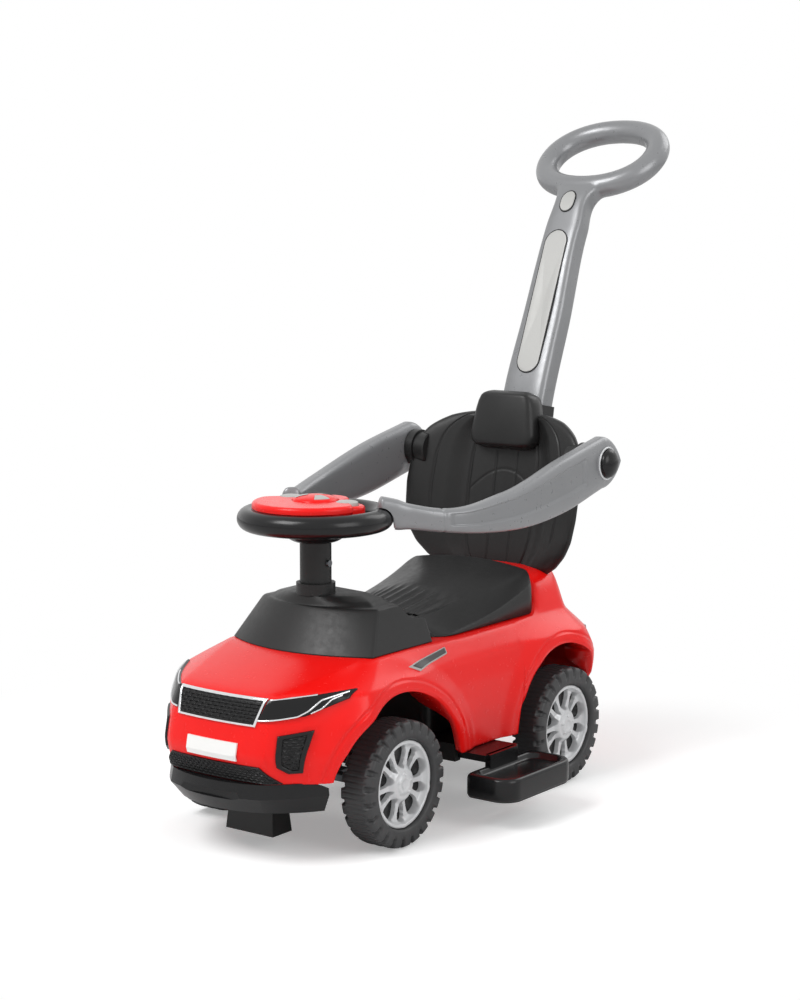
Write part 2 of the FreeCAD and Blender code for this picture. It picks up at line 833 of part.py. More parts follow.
def make_horn_panel(wheel_ring):
    """The fascia on the steering wheel, with a rounded front and two side lobes, and its buttons."""
    panel = new_body("panel")
    base = "wheel_height"
    front = draw(
        sketch_on(panel, "XY", base),
        ("panel_front", "panel_radius * cos(30)", "panel_radius", "0"),
        ("-lobe_radius", "horn_radius"),
        ("-lobe_radius", "-horn_radius", "-lobe_radius - horn_radius", "0"),
        ("panel_front", "-panel_radius * cos(30)"),
    )
    pad(panel, front, "panel_height + wheel_tube_radius - spoke_thickness / 2")
    lobes = sketch_on(panel, "XY", base)
    for side in ("", "-"):
        ring(lobes, "-lobe_setback", f"{side}lobe_offset", "lobe_radius")
    pad(panel, lobes, "panel_height + button_depth / 2")
    top = f"{base} + panel_height + wheel_tube_radius - spoke_thickness / 2"
    wells = sketch_on(panel, "XY", top)
    ring(wells, "0", "0", "horn_radius + part_gap")
    for side in ("", "-"):
        ring(wells, "-lobe_setback", f"{side}lobe_offset", "button_radius + part_gap")
    pocket(panel, wells, "button_depth + button_travel")
    put(panel, "column_x")
    node(boolean("Cut", "panel_seated", panel, wheel_ring), "horn_panel")
    floor = f"{top} - button_depth"
    lift = "button_depth + button_rise"
    for label, x, y, radius in (
        ("horn_button", "column_x", "0", "horn_radius"),
        ("music_button_left", "column_x - lobe_setback", "lobe_offset", "button_radius"),
        ("music_button_right", "column_x - lobe_setback", "-lobe_offset", "button_radius"),
    ):
        button = new_body(label)
        section = draw(
            sketch_on(button, "XZ"),
            ("0", "0"),
            (radius, "0"),
            (radius, "button_depth"),
            *[(f"{radius} * {share}", f"button_depth + button_rise * {rise}")
              for share, rise in DOME_STEP_SHARES],
            ("0", lift),
        )
        revolve(button, section, "V_Axis")
        node(put(button, x, y, floor), label)


# Body shell

def hull_sections(body, inset, floor_drop="0"):
    """The shell's plan outline at each level, drawn in from the outside by an inset."""
    sketches = []
    for shares, drop_share in zip(HULL_LEVEL_SHARES, NOSE_DROP_SHARES):
        rise, nose, nose_half, place, side, waist, tail, tail_half = shares
        height = f"sill_height + {rise} * (deck_height - sill_height - ({inset}))"
        if not sketches:
            height = f"sill_height - ({floor_drop})"
        nose_x = f"(nose_reach * {nose} - ({inset}))"
        nose_y = f"(body_half * {nose_half} - ({inset}) / 2)"
        nose_back = f"({nose_x} - {nose_y} * {drop_share})"
        side_x = f"(wheelbase * {place})"
        side_y = f"(body_half * {side} - ({inset}))"
        waist_y = f"(body_half * {waist} - ({inset}))"
        rear_x = f"(-tail_reach * {REAR_PLACE_SHARE})"
        tail_x = f"(({inset}) - tail_reach * {tail})"
        tail_y = f"(body_half * {tail_half} - ({inset}) / 2)"
        tail_back = f"({tail_x} + {tail_y} * {NOSE_DROP_SHARES[0]})"
        waist_x = f"({rear_x} + ({side_x} - {rear_x}) * waist_place_share)"
        front_mid_x = f"({nose_back} + {side_x}) / 2 + front_bulge_share * ({side_y} - {nose_y})"
        front_mid_y = f"({nose_y} + {side_y}) / 2 + front_bulge_share * ({nose_back} - {side_x})"
        rear_mid_x = f"({tail_back} + {rear_x}) / 2 - rear_bulge_share * ({side_y} - {tail_y})"
        rear_mid_y = f"({tail_y} + {side_y}) / 2 + rear_bulge_share * ({rear_x} - {tail_back})"
        sketches.append(draw(
            sketch_on(body, "XY", height),
            (nose_back, nose_y, nose_x, "0"),
            (side_x, side_y, front_mid_x, front_mid_y),
            (rear_x, side_y, waist_x, waist_y),
            (tail_back, tail_y, rear_mid_x, rear_mid_y),
            (tail_back, f"-{tail_y}", tail_x, "0"),
            (rear_x, f"-{side_y}", rear_mid_x, f"-({rear_mid_y})"),
            (side_x, f"-{side_y}", waist_x, f"-{waist_y}"),
            (nose_back, f"-{nose_y}", front_mid_x, f"-({front_mid_y})"),
        ))
    return sketches


def hump_sections(body, inset):
    """The rear hump, wide at its foot inside the shell and narrow at its top."""
    foot = "deck_height - hump_flare"
    sketches = []
    for height, spread in ((foot, "hump_flare * 2 / 3"), (f"hump_height - ({inset})", "0")):
        sketches.append(rounded(
            sketch_on(body, "XY", height),
            f"({inset}) - hump_rear - ({spread}) / 2", f"hump_front - ({inset})",
            f"({inset}) - hump_half - ({spread})", f"hump_half + ({spread}) - ({inset})", "hump_corner"))
    return sketches


def arch_points(x, front, rear, grow):
    """Arch over a wheel: two arcs that meet level at its top, as (end, through) from the front foot."""
    top = f"(arch_top + ({grow}))"
    rise = f"({top} - sill_height)"
    points = []
    for sign, reach in (("", f"({front} + ({grow}))"), ("-", f"({rear} + ({grow}))")):
        half_angle = f"atan({rise} / {reach})"
        radius = f"(({reach} * {reach} + {rise} * {rise}) / (2 * {rise}))"
        through = (f"{x} + {sign}1 * {radius} * sin({half_angle})",
                   f"{top} - {radius} * (1 - cos({half_angle}))")
        points.append((f"{x} + {sign}1 * {reach}", through))
    return points, top


def arch_block(name, grow, inner, outer):
    """A block under each arch of the left side, between two distances from the middle."""
    body = new_body(name)
    low = "sill_height - overrun"
    sketch = sketch_on(body, "XZ", inner)
    for x, front, rear in (("wheelbase", "front_arch_front", "front_arch_rear"),
                           ("0", "rear_arch_front", "rear_arch_rear")):
        ((front_x, front_through), (rear_x, rear_through)), top = arch_points(x, front, rear, grow)
        draw(
            sketch,
            (front_x, low),
            (front_x, "sill_height"),
            (x, top, *front_through),
            (rear_x, "sill_height", *rear_through),
            (rear_x, low),
        )
    pad(body, sketch, f"({outer}) - ({inner})", reverse=True)
    return body


def make_body_shell(hull):
    """One moulded skin: bonnet, wings, deck and hump, hollow below, with flared arches."""
    skin = new_body("shell_skin")
    loft(skin, hull_sections(skin, "0"))
    loft(skin, hump_sections(skin, "0"))
    loft(skin, hull_sections(skin, "shell_wall", "overrun"), cut=True)
    loft(skin, hump_sections(skin, "shell_wall"), cut=True)
    bosses = sketch_on(skin, "XY", BEAM_LOW)
    for x in ("front_boss_x", "rear_boss_x"):
        for side in ("", "-"):
            ring(bosses, x, f"{side}boss_offset", "boss_radius")
    pad(skin, bosses, f"deck_height - shell_wall / 2 - ({BEAM_LOW})")
    openings = sketch_on(skin, "XY", "deck_height")
    rounded(openings, "bin_rear - bin_flange / 2", "bin_front + bin_flange / 2",
            "-bin_half - bin_flange / 2", "bin_half + bin_flange / 2", "bin_corner")
    ring(openings, "column_x", "0", "column_radius")
    pocket(skin, openings, "shell_wall * 2")
    outer = "body_half + overrun"
    lips = arch_block("arch_lips", "flare_width", "arch_inner", outer)
    whole_flare = on_hull("flare_whole", lips, hull_solid("hull_flare", "flare_proud"), hull)
    foot = slab("flare_foot", "wheelbase + front_arch_front", "nose_reach", "0", outer,
                "sill_height - overrun", "bumper_top + part_gap")
    flare_left = boolean("Cut", "flare", whole_flare, foot)
    wells_left = arch_block("arch_wells", "0", "arch_inner", outer)
    whole = join("shell_whole", skin, flare_left, mirror(flare_left, "flare_right"))
    wells = join("wells", wells_left, mirror(wells_left, "wells_right"))
    node(boolean("Cut", "shell", whole, wells), "body_shell")


def hull_solid(name, grown):
    """The filled outline of the shell, grown outward, for cutting trim to its surface."""
    body = new_body(name)
    loft(body, hull_sections(body, f"-({grown})"))
    return body


def prism(name, back_x, *corners):
    """A block with an outline in front view, from back_x forward past the nose."""
    body = new_body(name)
    pad(body, draw(sketch_on(body, "YZ", back_x), *corners), f"bumper_nose - ({back_x})")
    return body


def on_hull(name, block, skin, hull):
    """The part of a block between the shell's surface and a skin just proud of it."""
    return boolean("Cut", name, boolean("Common", f"{name}_skin", block, skin), hull)


def make_front_trim(hull):
    """Grille, lights, vents, plate and lower band, each cut to the curve of the nose."""
    skin = hull_solid("hull_skin", "trim_proud")
    thin = hull_solid("hull_thin", "mesh_proud")
    plate_skin = hull_solid("hull_plate", "plate_proud")
    front = "nose_reach - overrun * 2"
    low_half = "grille_half - grille_slant"
    border = "grille_border"

    def grille_corners(edge):
        return (
            (f"{edge} - ({low_half})", f"grille_low + {edge}"),
            (f"{low_half} - ({edge})", f"grille_low + {edge}"),
            (f"grille_half - ({edge})", f"grille_high - ({edge})"),
            (f"{edge} - grille_half", f"grille_high - ({edge})"),
        )

    block = prism("grille_block", front, *grille_corners("part_gap"))
    inner = prism("grille_inner", front, *grille_corners(border))
    ring_block = boolean("Cut", "grille_ring", block, inner)
    node(on_hull("grille_surround", ring_block, skin, hull), "grille_frame")
    mesh = prism("mesh_block", front, *grille_corners(f"{border} + part_gap"))
    start_y = f"-mesh_pitch * {(MESH_COLUMNS - 1) / 2}"
    start_z = "(grille_low + grille_high - mesh_row) / 2"
    cell = sketch_on(mesh, "YZ", front)
    draw(cell, *[(f"{start_y} + mesh_cell * sin({60 * step})", f"{start_z} + mesh_cell * cos({60 * step})")
                 for step in range(6)])
    hole = pocket(mesh, cell)
    columns = body_pattern(mesh, hole)
    mesh.Tip = columns
    node(on_hull("grille_net", mesh, thin, hull), "grille_mesh")

    light = prism(
        "light_block", "light_rear_x",
        (f"{low_half} + part_gap * 2", "light_low"),
        ("light_mid_half", "light_mid_low"),
        ("light_tip_half", "light_tip_low"),
        ("light_tip_half", "light_tip_high"),
        ("grille_half + part_gap * 2", "grille_high"),
    )
    both_sides(on_hull("light", light, skin, hull), "headlight")
    vent = prism(
        "vent_block", "light_rear_x",
        ("vent_inner", "vent_low + panel_round"),
        ("vent_inner + panel_round", "vent_low"),
        ("vent_outer - panel_round", "vent_low"),
        ("vent_outer", "vent_high"),
        ("vent_inner", "vent_high - panel_round / 2"),
    )
    both_sides(on_hull("vent", vent, skin, hull), "fog_vent")
    plate = prism(
        "plate_block", front,
        ("-plate_half", "plate_low"), ("plate_half", "plate_low"),
        ("plate_half", "plate_high"), ("-plate_half", "plate_high"),
    )
    node(on_hull("plate", plate, plate_skin, hull), "number_plate")
    band = prism(
        "band_block", front,
        ("-band_half_low", "bumper_top + part_gap"), ("band_half_low", "bumper_top + part_gap"),
        ("band_half_top", "band_high"), ("-band_half_top", "band_high"),
    )
    node(on_hull("band", band, skin, hull), "lower_grille")
    tail = new_body("tail_block")
    outline = box_outline(sketch_on(tail, "YZ", "-tail_reach - overrun"),
                          "tail_light_inner", "tail_light_outer", "tail_light_low", "tail_light_high")
    pad(tail, outline, "tail_reach")
    both_sides(on_hull("tail_light", tail, skin, hull), "tail_light")
    make_bumper(hull)


def body_pattern(body, hole):
    """Rows and columns of one mesh cell, alternate rows shifted by half a pitch."""
    multi = body.newObject("PartDesign::MultiTransform", "cells")
    multi.Originals = [hole]
    across = body.newObject("PartDesign::LinearPattern", "across")
    across.Direction = (origin_of(body, "Y_Axis"), [""])
    bind(across, Length=f"mesh_pitch * {MESH_COLUMNS - 1}")
    across.Occurrences = MESH_COLUMNS
    up = body.newObject("PartDesign::LinearPattern", "up")
    up.Direction = (origin_of(body, "Z_Axis"), [""])
    bind(up, Length=f"mesh_row * {MESH_ROWS - 1}")
    up.Occurrences = MESH_ROWS
    multi.Transformations = [across, up]
    return multi


def make_bumper(hull):
    """A deep lip that wraps the nose between the front arches."""
    body = new_body("bumper_block")
    rear = "(wheelbase + front_arch_front + bumper_gap)"

    def outline(height, tuck):
        nose = f"(bumper_nose - ({tuck}))"
        end = f"(bumper_end_half - ({tuck}) / 2)"
        half = f"(bumper_corner_half - ({tuck}) / 2)"
        mid_x = f"({nose} - bumper_tuck + {rear}) / 2 + bumper_gap"
        mid_y = f"({end} + {half}) / 2 + bumper_gap"
        return draw(
            sketch_on(body, "XY", height),
            (rear, f"-{end}"),
            (f"{nose} - bumper_tuck", f"-{half}", mid_x, f"-({mid_y})"),
            (f"{nose} - bumper_tuck", half, nose, "0"),
            (rear, end, mid_x, mid_y),
        )

    loft(body, [outline("bumper_low", "bumper_tuck"), outline("sill_height", "0"),
                outline("bumper_top", "bumper_gap")])
    loft(body, [outline("bumper_low - overrun", "bumper_tuck + bumper_wall * 2"),
                outline("bumper_top + overrun", "bumper_tuck + bumper_wall * 2")], cut=True)
    slot = rounded(sketch_on(body, "YZ", "bumper_nose + overrun"),
                   "-bumper_corner_half", "bumper_corner_half",
                   "sill_height - bumper_wall / 2", "sill_height + bumper_wall", "bumper_wall / 2")
    pocket(body, slot, "overrun + bumper_gap * 2")
    node(boolean("Cut", "bumper", body, hull), "front_bumper")


def make_front_foot():
    """A tapered anti-tip foot under the nose."""
    body = new_body("foot")
    sketches = []
    for height, taper in (("pan_height", "foot_taper"), ("foot_clearance", "0")):
        sketches.append(box_outline(
            sketch_on(body, "XY", height),
            f"foot_front - foot_length + ({taper})", f"foot_front - ({taper})",
            f"({taper}) - foot_half", f"foot_half - ({taper})"))
    loft(body, sketches)
    node(body, "front_foot")


# Under-frame

def make_chassis_pan():
    """A flat pan with axle blocks under the rear and L-shaped rails for the footrests."""
    pan = new_body("pan")
    wing = f"body_half * {HULL_LEVEL_SHARES[0][5]} - shell_wall - part_gap"
    wing_front = "tongue_middle + tongue_width / 2 + rail_wall * 2"
    wing_rear = "tongue_middle - tongue_width / 2 - rail_wall * 2"
    left = (
        ("pan_front", "pan_neck"),
        ("front_boss_x + boss_radius * 2", "pan_neck"),
        ("front_boss_x + boss_radius * 2", "pan_half - boss_radius"),
        (wing_front, "pan_half - boss_radius"),
        (wing_front, wing),
        (wing_rear, wing),
        (wing_rear, "pan_half"),
        ("-pan_rear", "pan_half - boss_radius * 2"),
    )
    right = tuple((x, f"-({y})") for x, y in reversed(left))
    pad(pan, draw(sketch_on(pan, "XY", "pan_height"), *left, *right), "pan_thickness")
    blocks = sketch_on(pan, "XY", "pan_height")
    for side in (1, -1):
        first = "axle_block_inner" if side > 0 else "-axle_block_inner - axle_block_length"
        last = "axle_block_inner + axle_block_length" if side > 0 else "-axle_block_inner"
        box_outline(blocks, "-axle_block_width / 2", "axle_block_width / 2", first, last)
    pad(pan, blocks, "pan_height - tyre_radius + axle_radius * 2", reverse=True)
    edge = "tongue_width / 2 + part_gap"
    for side in (1, -1):
        wall = sketch_on(pan, "XZ", "rail_half")
        near = f"tongue_middle + {side} * ({edge})"
        far = f"tongue_middle + {side} * ({edge} + rail_wall)"
        lip = f"tongue_middle + {side} * ({edge} - rail_lip)"
        foot = "pan_height - rail_drop"
        shelf = f"{TONGUE_LOW} - part_gap"
        draw(wall, (far, "pan_height"), (far, foot), (lip, foot), (lip, shelf), (near, shelf),
             (near, "pan_height"))
        pad(pan, wall, "rail_half * 2")
    pocket(pan, ring(sketch_on(pan, "XZ"), "0", "tyre_radius", "axle_radius + running_gap"))
    pocket(pan, ring(sketch_on(pan, "XY"), "column_x", "0", "rod_radius + running_gap"))
    node(pan, "chassis_pan")


TONGUE_TOP = "sill_height - part_gap * 3"
TONGUE_LOW = f"{TONGUE_TOP} - tongue_thickness"


def make_front_beam():
    """The cross beam with the two kingpin holes."""
    body = new_body("beam")
    half = "kingpin_offset + beam_width / 2"
    outline = rounded(sketch_on(body, "XY", BEAM_LOW),
                      "wheelbase - beam_width / 2", "wheelbase + beam_width / 2",
                      f"-({half})", half, "beam_width / 3")
    pad(body, outline, "beam_thickness")
    holes = sketch_on(body, "XY")
    for side in ("", "-"):
        ring(holes, "wheelbase", f"{side}kingpin_offset", "kingpin_radius + running_gap")
    pocket(body, holes)
    rod = ring(sketch_on(body, "XY"), "column_x", "0", "rod_radius + open_pivot_gap")
    pocket(body, rod)
    node(body, "front_beam")


def make_footrests():
    """A hollow tray with a rounded outer end and a sunken tread, on a tongue that slides in the rails."""
    tray = new_body("footrest")
    low = "footrest_top - footrest_height"
    outline = draw(
        sketch_on(tray, "XY", low),
        ("footrest_rear", "footrest_inner"),
        ("footrest_front", "footrest_inner"),
        ("footrest_front", "footrest_outer - footrest_corner"),
        ("footrest_front - footrest_corner", "footrest_outer",
         "footrest_front - footrest_corner * (1 - cos(45))",
         "footrest_outer - footrest_corner * (1 - cos(45))"),
        ("footrest_rear + footrest_corner", "footrest_outer"),
        ("footrest_rear", "footrest_outer - footrest_corner",
         "footrest_rear + footrest_corner * (1 - cos(45))",
         "footrest_outer - footrest_corner * (1 - cos(45))"),
    )
    pad(tray, outline, "footrest_height")
    tread = rounded(
        sketch_on(tray, "XY", "footrest_top"),
        "footrest_rear + footrest_rim", "footrest_front - footrest_rim",
        "footrest_inner + footrest_rim", "footrest_outer - footrest_rim", "footrest_corner - footrest_wall")
    pocket(tray, tread, "footrest_recess")
    hollow = rounded(
        sketch_on(tray, "XY", low), "footrest_rear + footrest_wall", "footrest_front - footrest_wall",
        "footrest_inner + footrest_wall", "footrest_outer - footrest_wall", "footrest_corner - footrest_wall")
    pocket(tray, hollow, "footrest_height - footrest_recess - footrest_wall", reverse=True)
    left = "tongue_middle - tongue_width / 2"
    right = "tongue_middle + tongue_width / 2"
    clear = "rail_lip + part_gap * 3"
    riser = box_outline(sketch_on(tray, "XY", "footrest_top"), f"{left} + {clear}", f"{right} - ({clear})",
                        "footrest_inner", "footrest_inner + footrest_wall * 2")
    pad(tray, riser, f"{TONGUE_TOP} - footrest_top")
    tongue = box_outline(sketch_on(tray, "XY", TONGUE_LOW), left, right, "tongue_reach",
                         "footrest_inner + footrest_wall")
    pad(tray, tongue, "tongue_thickness")
    both_sides(tray, "footrest")


# Cabin

def dash_outline(body, height, inset, corner_x, front_x, half):
    return draw(
        sketch_on(body, "XY", height),
        (f"dash_rear + ({inset})", f"({inset}) - ({half})"),
        (f"{corner_x} - ({inset})", f"({inset}) - ({half})"),
        (f"{corner_x} - ({inset})", f"{half} - ({inset})", f"{front_x} - ({inset})", "0"),
        (f"dash_rear + ({inset})", f"{half} - ({inset})"),
    )


def dash_sections(body, inset, foot):
    """Cowl outlines: base, top edge of the screen and crown."""
    return [
        dash_outline(body, foot, inset, "dash_base_corner", "dash_base_front", "dash_base_half"),
        dash_outline(body, f"dash_top - ({inset})", inset, "dash_top_corner", "dash_top_front",
                     "dash_top_half"),
        dash_outline(body, f"dash_top + dash_crown - ({inset})", f"({inset})",
                     "dash_top_corner - dash_crown_inset / 2",
                     "dash_top_front - dash_crown_inset / 8", "dash_top_half - dash_crown_inset"),
    ]


def dash_block(name, inset, foot):
    """The cowl's solid outline, stepped down behind the column in side view."""
    plan = new_body(f"{name}_plan")
    loft(plan, dash_sections(plan, inset, foot))
    side = new_body(f"{name}_side")
    profile = draw(
        sketch_on(side, "XZ"),
        ("dash_rear", foot),
        ("dash_base_front", foot),
        ("dash_base_front", "dash_top + dash_crown"),
        (f"dash_step_front + ({inset})", "dash_top + dash_crown"),
        (f"dash_step_rear + ({inset})", f"dash_sill + dash_step_rise - ({inset})",
         f"(dash_step_front + dash_step_rear) / 2 + ({inset}) + dash_step_rise",
         f"(dash_top + dash_crown + dash_sill) / 2 - ({inset})"),
        ("dash_rear", f"dash_sill - ({inset})"),
    )
    pad(side, profile, "dash_base_half * 2", both=True)
    return boolean("Common", name, plan, side)


def make_dashboard():
    """A hollow cowl with a raked screen, a crowned top and a low sill behind, open round the column."""
    outer = dash_block("dash_outer", "0", "deck_height")
    inner = dash_block("dash_inner", "dash_wall", "deck_height - overrun")
    hole = cylinder("dash_hole", "column_radius + running_gap", "wheel_height - deck_height",
                    "column_x", "0", "deck_height", "Z")
    node(boolean("Cut", "dash", outer, join("dash_hollow", inner, hole)), "dashboard")


def seat_block(name, inset, foot):
    """A saddle: cross-sections that widen and rise rearward, trimmed to a plan with round corners."""
    saddle = new_body(f"{name}_saddle")
    sketches = []
    for place, station in (("seat_front", "front"), ("seat_middle", "middle"), ("seat_rear", "rear")):
        half = f"(seat_{station}_half - ({inset}))"
        shoulder = f"seat_{station}_shoulder - ({inset})"
        sketches.append(draw(
            sketch_on(saddle, "YZ", place),
            (f"({inset}) - seat_half", foot),
            (f"seat_half - ({inset})", foot),
            (half, shoulder),
            (f"-{half}", shoulder, "0", f"seat_{station}_top - ({inset})"),
        ))
    loft(saddle, sketches, ruled=False)
    plan = new_body(f"{name}_plan")
    outline = rounded(
        sketch_on(plan, "XY", foot), f"seat_rear + ({inset})", f"seat_front - ({inset})",
        f"({inset}) - seat_half", f"seat_half - ({inset})", f"seat_corner - ({inset})")
    pad(plan, outline, f"seat_rear_top + overrun - ({foot})")
    return boolean("Common", name, saddle, plan)


def make_seat():
    """A crowned seat lid, ribbed along its front half and hinged at its front edge."""
    outer = seat_block("seat_outer", "0", "deck_height + part_gap")
    inner = seat_block("seat_inner", "seat_wall", "deck_height + part_gap")
    slope = "atan((seat_middle_top - seat_front_top) / (seat_front - seat_middle))"
    channels = []
    for number in range(SEAT_CHANNELS):
        step = number - (SEAT_CHANNELS - 1) / 2
        channel = cylinder(f"channel{number}", "channel_radius", "channel_length", "0", "0", "0", "X")
        tilt = FreeCAD.Rotation(V(0, 1, 0), size(slope))
        channel.Placement = FreeCAD.Placement(V(), tilt.multiply(TURNS["X"]))
        across = f"(channel_pitch * {step})"
        share = f"({across} / seat_front_half)"
        fall = f"(seat_front_top - seat_front_shoulder) * {share} * {share}"
        put(channel, f"channel_front - channel_length * cos({slope})", across,
            f"seat_front_top + channel_radius - channel_depth - {fall} + channel_length * sin({slope})")
        channels.append(channel)
    lip = slab("lip_relief", "hinge_x - hinge_ear_radius - part_gap", "seat_front + overrun",
               "-seat_half", "seat_half", "deck_height", "hinge_height + lip_height")
    hollowed = boolean("Cut", "seat_hollow", outer, join("seat_cuts", inner, lip, *channels))
    barrel = cylinder("seat_barrel", "hinge_radius", "hinge_half * 2", "hinge_x", "-hinge_half",
                      "hinge_height", "Y")
    rib = slab("seat_rib", "hinge_x - hinge_radius", "hinge_x + hinge_radius", "-hinge_half", "hinge_half",
               "hinge_height", "seat_front_top - seat_wall / 2")
    bore = cylinder("seat_bore", "hinge_pin_radius + running_gap", "hinge_half * 2",
                    "hinge_x", "-hinge_half", "hinge_height", "Y")
    node(boolean("Cut", "seat", join("seat_whole", hollowed, barrel, rib), bore), "seat_lid")
    pins = []
    for name, middle in (("left", "hinge_half"), ("right", "-hinge_half")):
        pins.append(cylinder(f"hinge_pin_{name}", "hinge_pin_radius", "hinge_pin_length",
                             "hinge_x", f"{middle} - hinge_pin_length / 2", "hinge_height", "Y"))
    node(group("hinge_pins", *pins), "seat_hinge_pins")


def make_storage_box():
    """The bin under the seat, hung from the deck by its flange, with two ears for the lid's hinge."""
    body = new_body("bin")
    outer = rounded(sketch_on(body, "XY", "bin_floor"), "bin_rear", "bin_front", "-bin_half", "bin_half",
                    "bin_corner")
    pad(body, outer, "deck_height - bin_floor")
    flange = rounded(sketch_on(body, "XY", "deck_height"), "bin_rear - bin_flange", "seat_front - bin_flange",
                     "-bin_half - bin_flange", "bin_half + bin_flange", "bin_corner")
    pad(body, flange, "bin_wall")
    hollow = rounded(sketch_on(body, "XY", "deck_height + bin_wall"),
                     "bin_rear + bin_wall", "bin_front - bin_wall",
                     "bin_wall - bin_half", "bin_half - bin_wall", "bin_corner - bin_wall")
    pocket(body, hollow, "deck_height - bin_floor")
    ear = draw(
        sketch_on(body, "XZ", "hinge_half + part_gap"),
        ("hinge_x - hinge_ear_radius", "deck_height"),
        ("hinge_x + hinge_ear_radius", "deck_height"),
        ("hinge_x + hinge_ear_radius", "hinge_height"),
        ("hinge_x - hinge_ear_radius", "hinge_height", "hinge_x", "hinge_height + hinge_ear_radius"),
    )
    ear_pad = pad(body, ear, "hinge_ear", reverse=True)
    mirrored(body, [ear_pad], "XZ")
    pocket(body, ring(sketch_on(body, "XZ"), "hinge_x", "hinge_height", "hinge_pin_radius"))
    node(body, "storage_box")


BACK_FOOT = "(hump_height + back_thickness * sin(back_lean) + part_gap)"


def lean(item):
    """Stands an item on the hump, tilted rearward with the backrest."""
    return put(item, "back_x", "0", BACK_FOOT, V(0, 1, 0), "-back_lean")


SPACER_START = "arm_inner - part_gap - spacer_thickness"


def make_backrest():
    """A curved, winged back with upholstery channels and a boss for each arm's pin."""
    band = new_body("back_band")
    far = "back_half + overrun"
    dip = f"(back_curve - sqrt(back_curve * back_curve - ({far}) * ({far})))"
    draw_band = draw(
        sketch_on(band, "XY"),
        (dip, far, "0", "0"),
        (f"{dip} - back_thickness", far),
        (f"{dip} - back_thickness", f"-({far})", "-back_thickness", "0"),
        (dip, f"-({far})"),
    )
    pad(band, draw_band, "back_height")
    front = new_body("back_front")
    wide = "back_height * back_wide_share"
    shoulder = "back_height * back_shoulder_share"
    right = (
        ("back_foot_half", "0"),
        ("back_half", wide, "(back_foot_half + 2 * back_half) / 3", f"{wide} / 3"),
        ("back_shoulder_half", shoulder, "(back_half * 3 + back_shoulder_half) / 4",
         f"({wide} + {shoulder}) / 2"),
        ("back_top_half", "back_height", "(back_shoulder_half * 2 + back_top_half) / 3",
         f"({shoulder} + 3 * back_height) / 4"),
    )
    left = []
    for number, corner in enumerate(reversed(right)):
        left.append((f"-({corner[0]})", corner[1]))
    arcs = [corner[2:] for corner in reversed(right)]
    outline = list(right) + [left[0]]
    for number in range(1, len(left)):
        through = arcs[number - 1]
        outline.append((*left[number], f"-({through[0]})", through[1]))
    sketch = draw(sketch_on(front, "YZ", f"-back_curve"), *outline)
    pad(front, sketch, "back_curve * 2")
    body = boolean("Common", "back_shape", band, front)
    tools = []
    for name, place in (("inner", "back_channel_inner"), ("outer", "back_channel_outer")):
        for side in ("", "-"):
            depth = f"(back_curve - sqrt(back_curve * back_curve - {place} * {place}))"
            tools.append(cylinder(
                f"back_channel_{name}", "back_channel_radius", "back_channel_length",
                f"{depth} + back_channel_radius - back_channel_depth", f"{side}{place}",
                "back_channel_foot", "Z"))
    padded = lean(boolean("Cut", "back_padded", body, join("back_channels", *tools)))
    bosses = []
    holes = []
    boss_end = f"{SPACER_START} - part_gap"
    bore = "pin_radius + running_gap"
    for side in (1, -1):
        start = f"{boss_end} - back_boss_length" if side > 0 else f"-({boss_end})"
        room = boss_end if side > 0 else f"-({boss_end}) - overrun"
        bosses.append(cylinder("back_boss", "back_boss_radius", "back_boss_length", "pivot_x", start,
                               "pivot_z", "Y"))
        holes.append(cylinder("back_hole", bore, "back_boss_length", "pivot_x", start, "pivot_z", "Y"))
        holes.append(cylinder("spacer_room", "spacer_radius + part_gap", "overrun", "pivot_x", room,
                              "pivot_z", "Y"))
    whole = join("back_whole", padded, *bosses)
    node(boolean("Cut", "back", whole, join("back_holes", *holes)), "backrest")
    return padded


def make_headrest(back):
    """A crowned pad with drawn-in sides, seated on the front of the backrest."""
    pad_body = new_body("head")
    sketches = []
    for depth, inset in (("-back_thickness", "0"), ("head_thickness - head_crown", "0"),
                         ("head_thickness", "head_crown_inset")):
        low = f"head_low + ({inset})"
        high = f"head_low + head_height - ({inset})"
        half_low = f"(head_half_low - ({inset}))"
        half_top = f"(head_half_top - ({inset}))"
        round_off = "head_corner * (1 - cos(45))"
        sketches.append(draw(
            sketch_on(pad_body, "YZ", depth),
            (f"head_corner - {half_low}", low, f"{round_off} - {half_low}", f"{low} + {round_off}"),
            (f"{half_low} - head_corner", low),
            (half_low, f"{low} + head_corner", f"{half_low} - {round_off}", f"{low} + {round_off}"),
            (half_top, f"{high} - head_corner"),
            (f"{half_top} - head_corner", high, f"{half_top} - {round_off}", f"{high} - {round_off}"),
            (f"head_corner - {half_top}", high),
            (f"-{half_top}", f"{high} - head_corner", f"{round_off} - {half_top}", f"{high} - {round_off}"),
            (f"-{half_low}", f"{low} + head_corner"),
        ))
    loft(pad_body, sketches)
    node(boolean("Cut", "head_pad", lean(pad_body), back), "headrest_pad")
    return pad_body


POST_FRONT = "-back_thickness - socket_wall - part_gap"
POST_MIDDLE = f"{POST_FRONT} - post_thickness / 2"


def post_outline(sketch, width, thickness, grow="0", shift="0"):
    """The post's rounded section, with thickness along the sketch's first axis."""
    return rounded(sketch, f"-({thickness}) / 2 - ({grow}) + {shift}",
                   f"({thickness}) / 2 + ({grow}) + {shift}",
                   f"-({width}) / 2 - ({grow})", f"({width}) / 2 + ({grow})", f"post_corner + ({grow}) / 2")


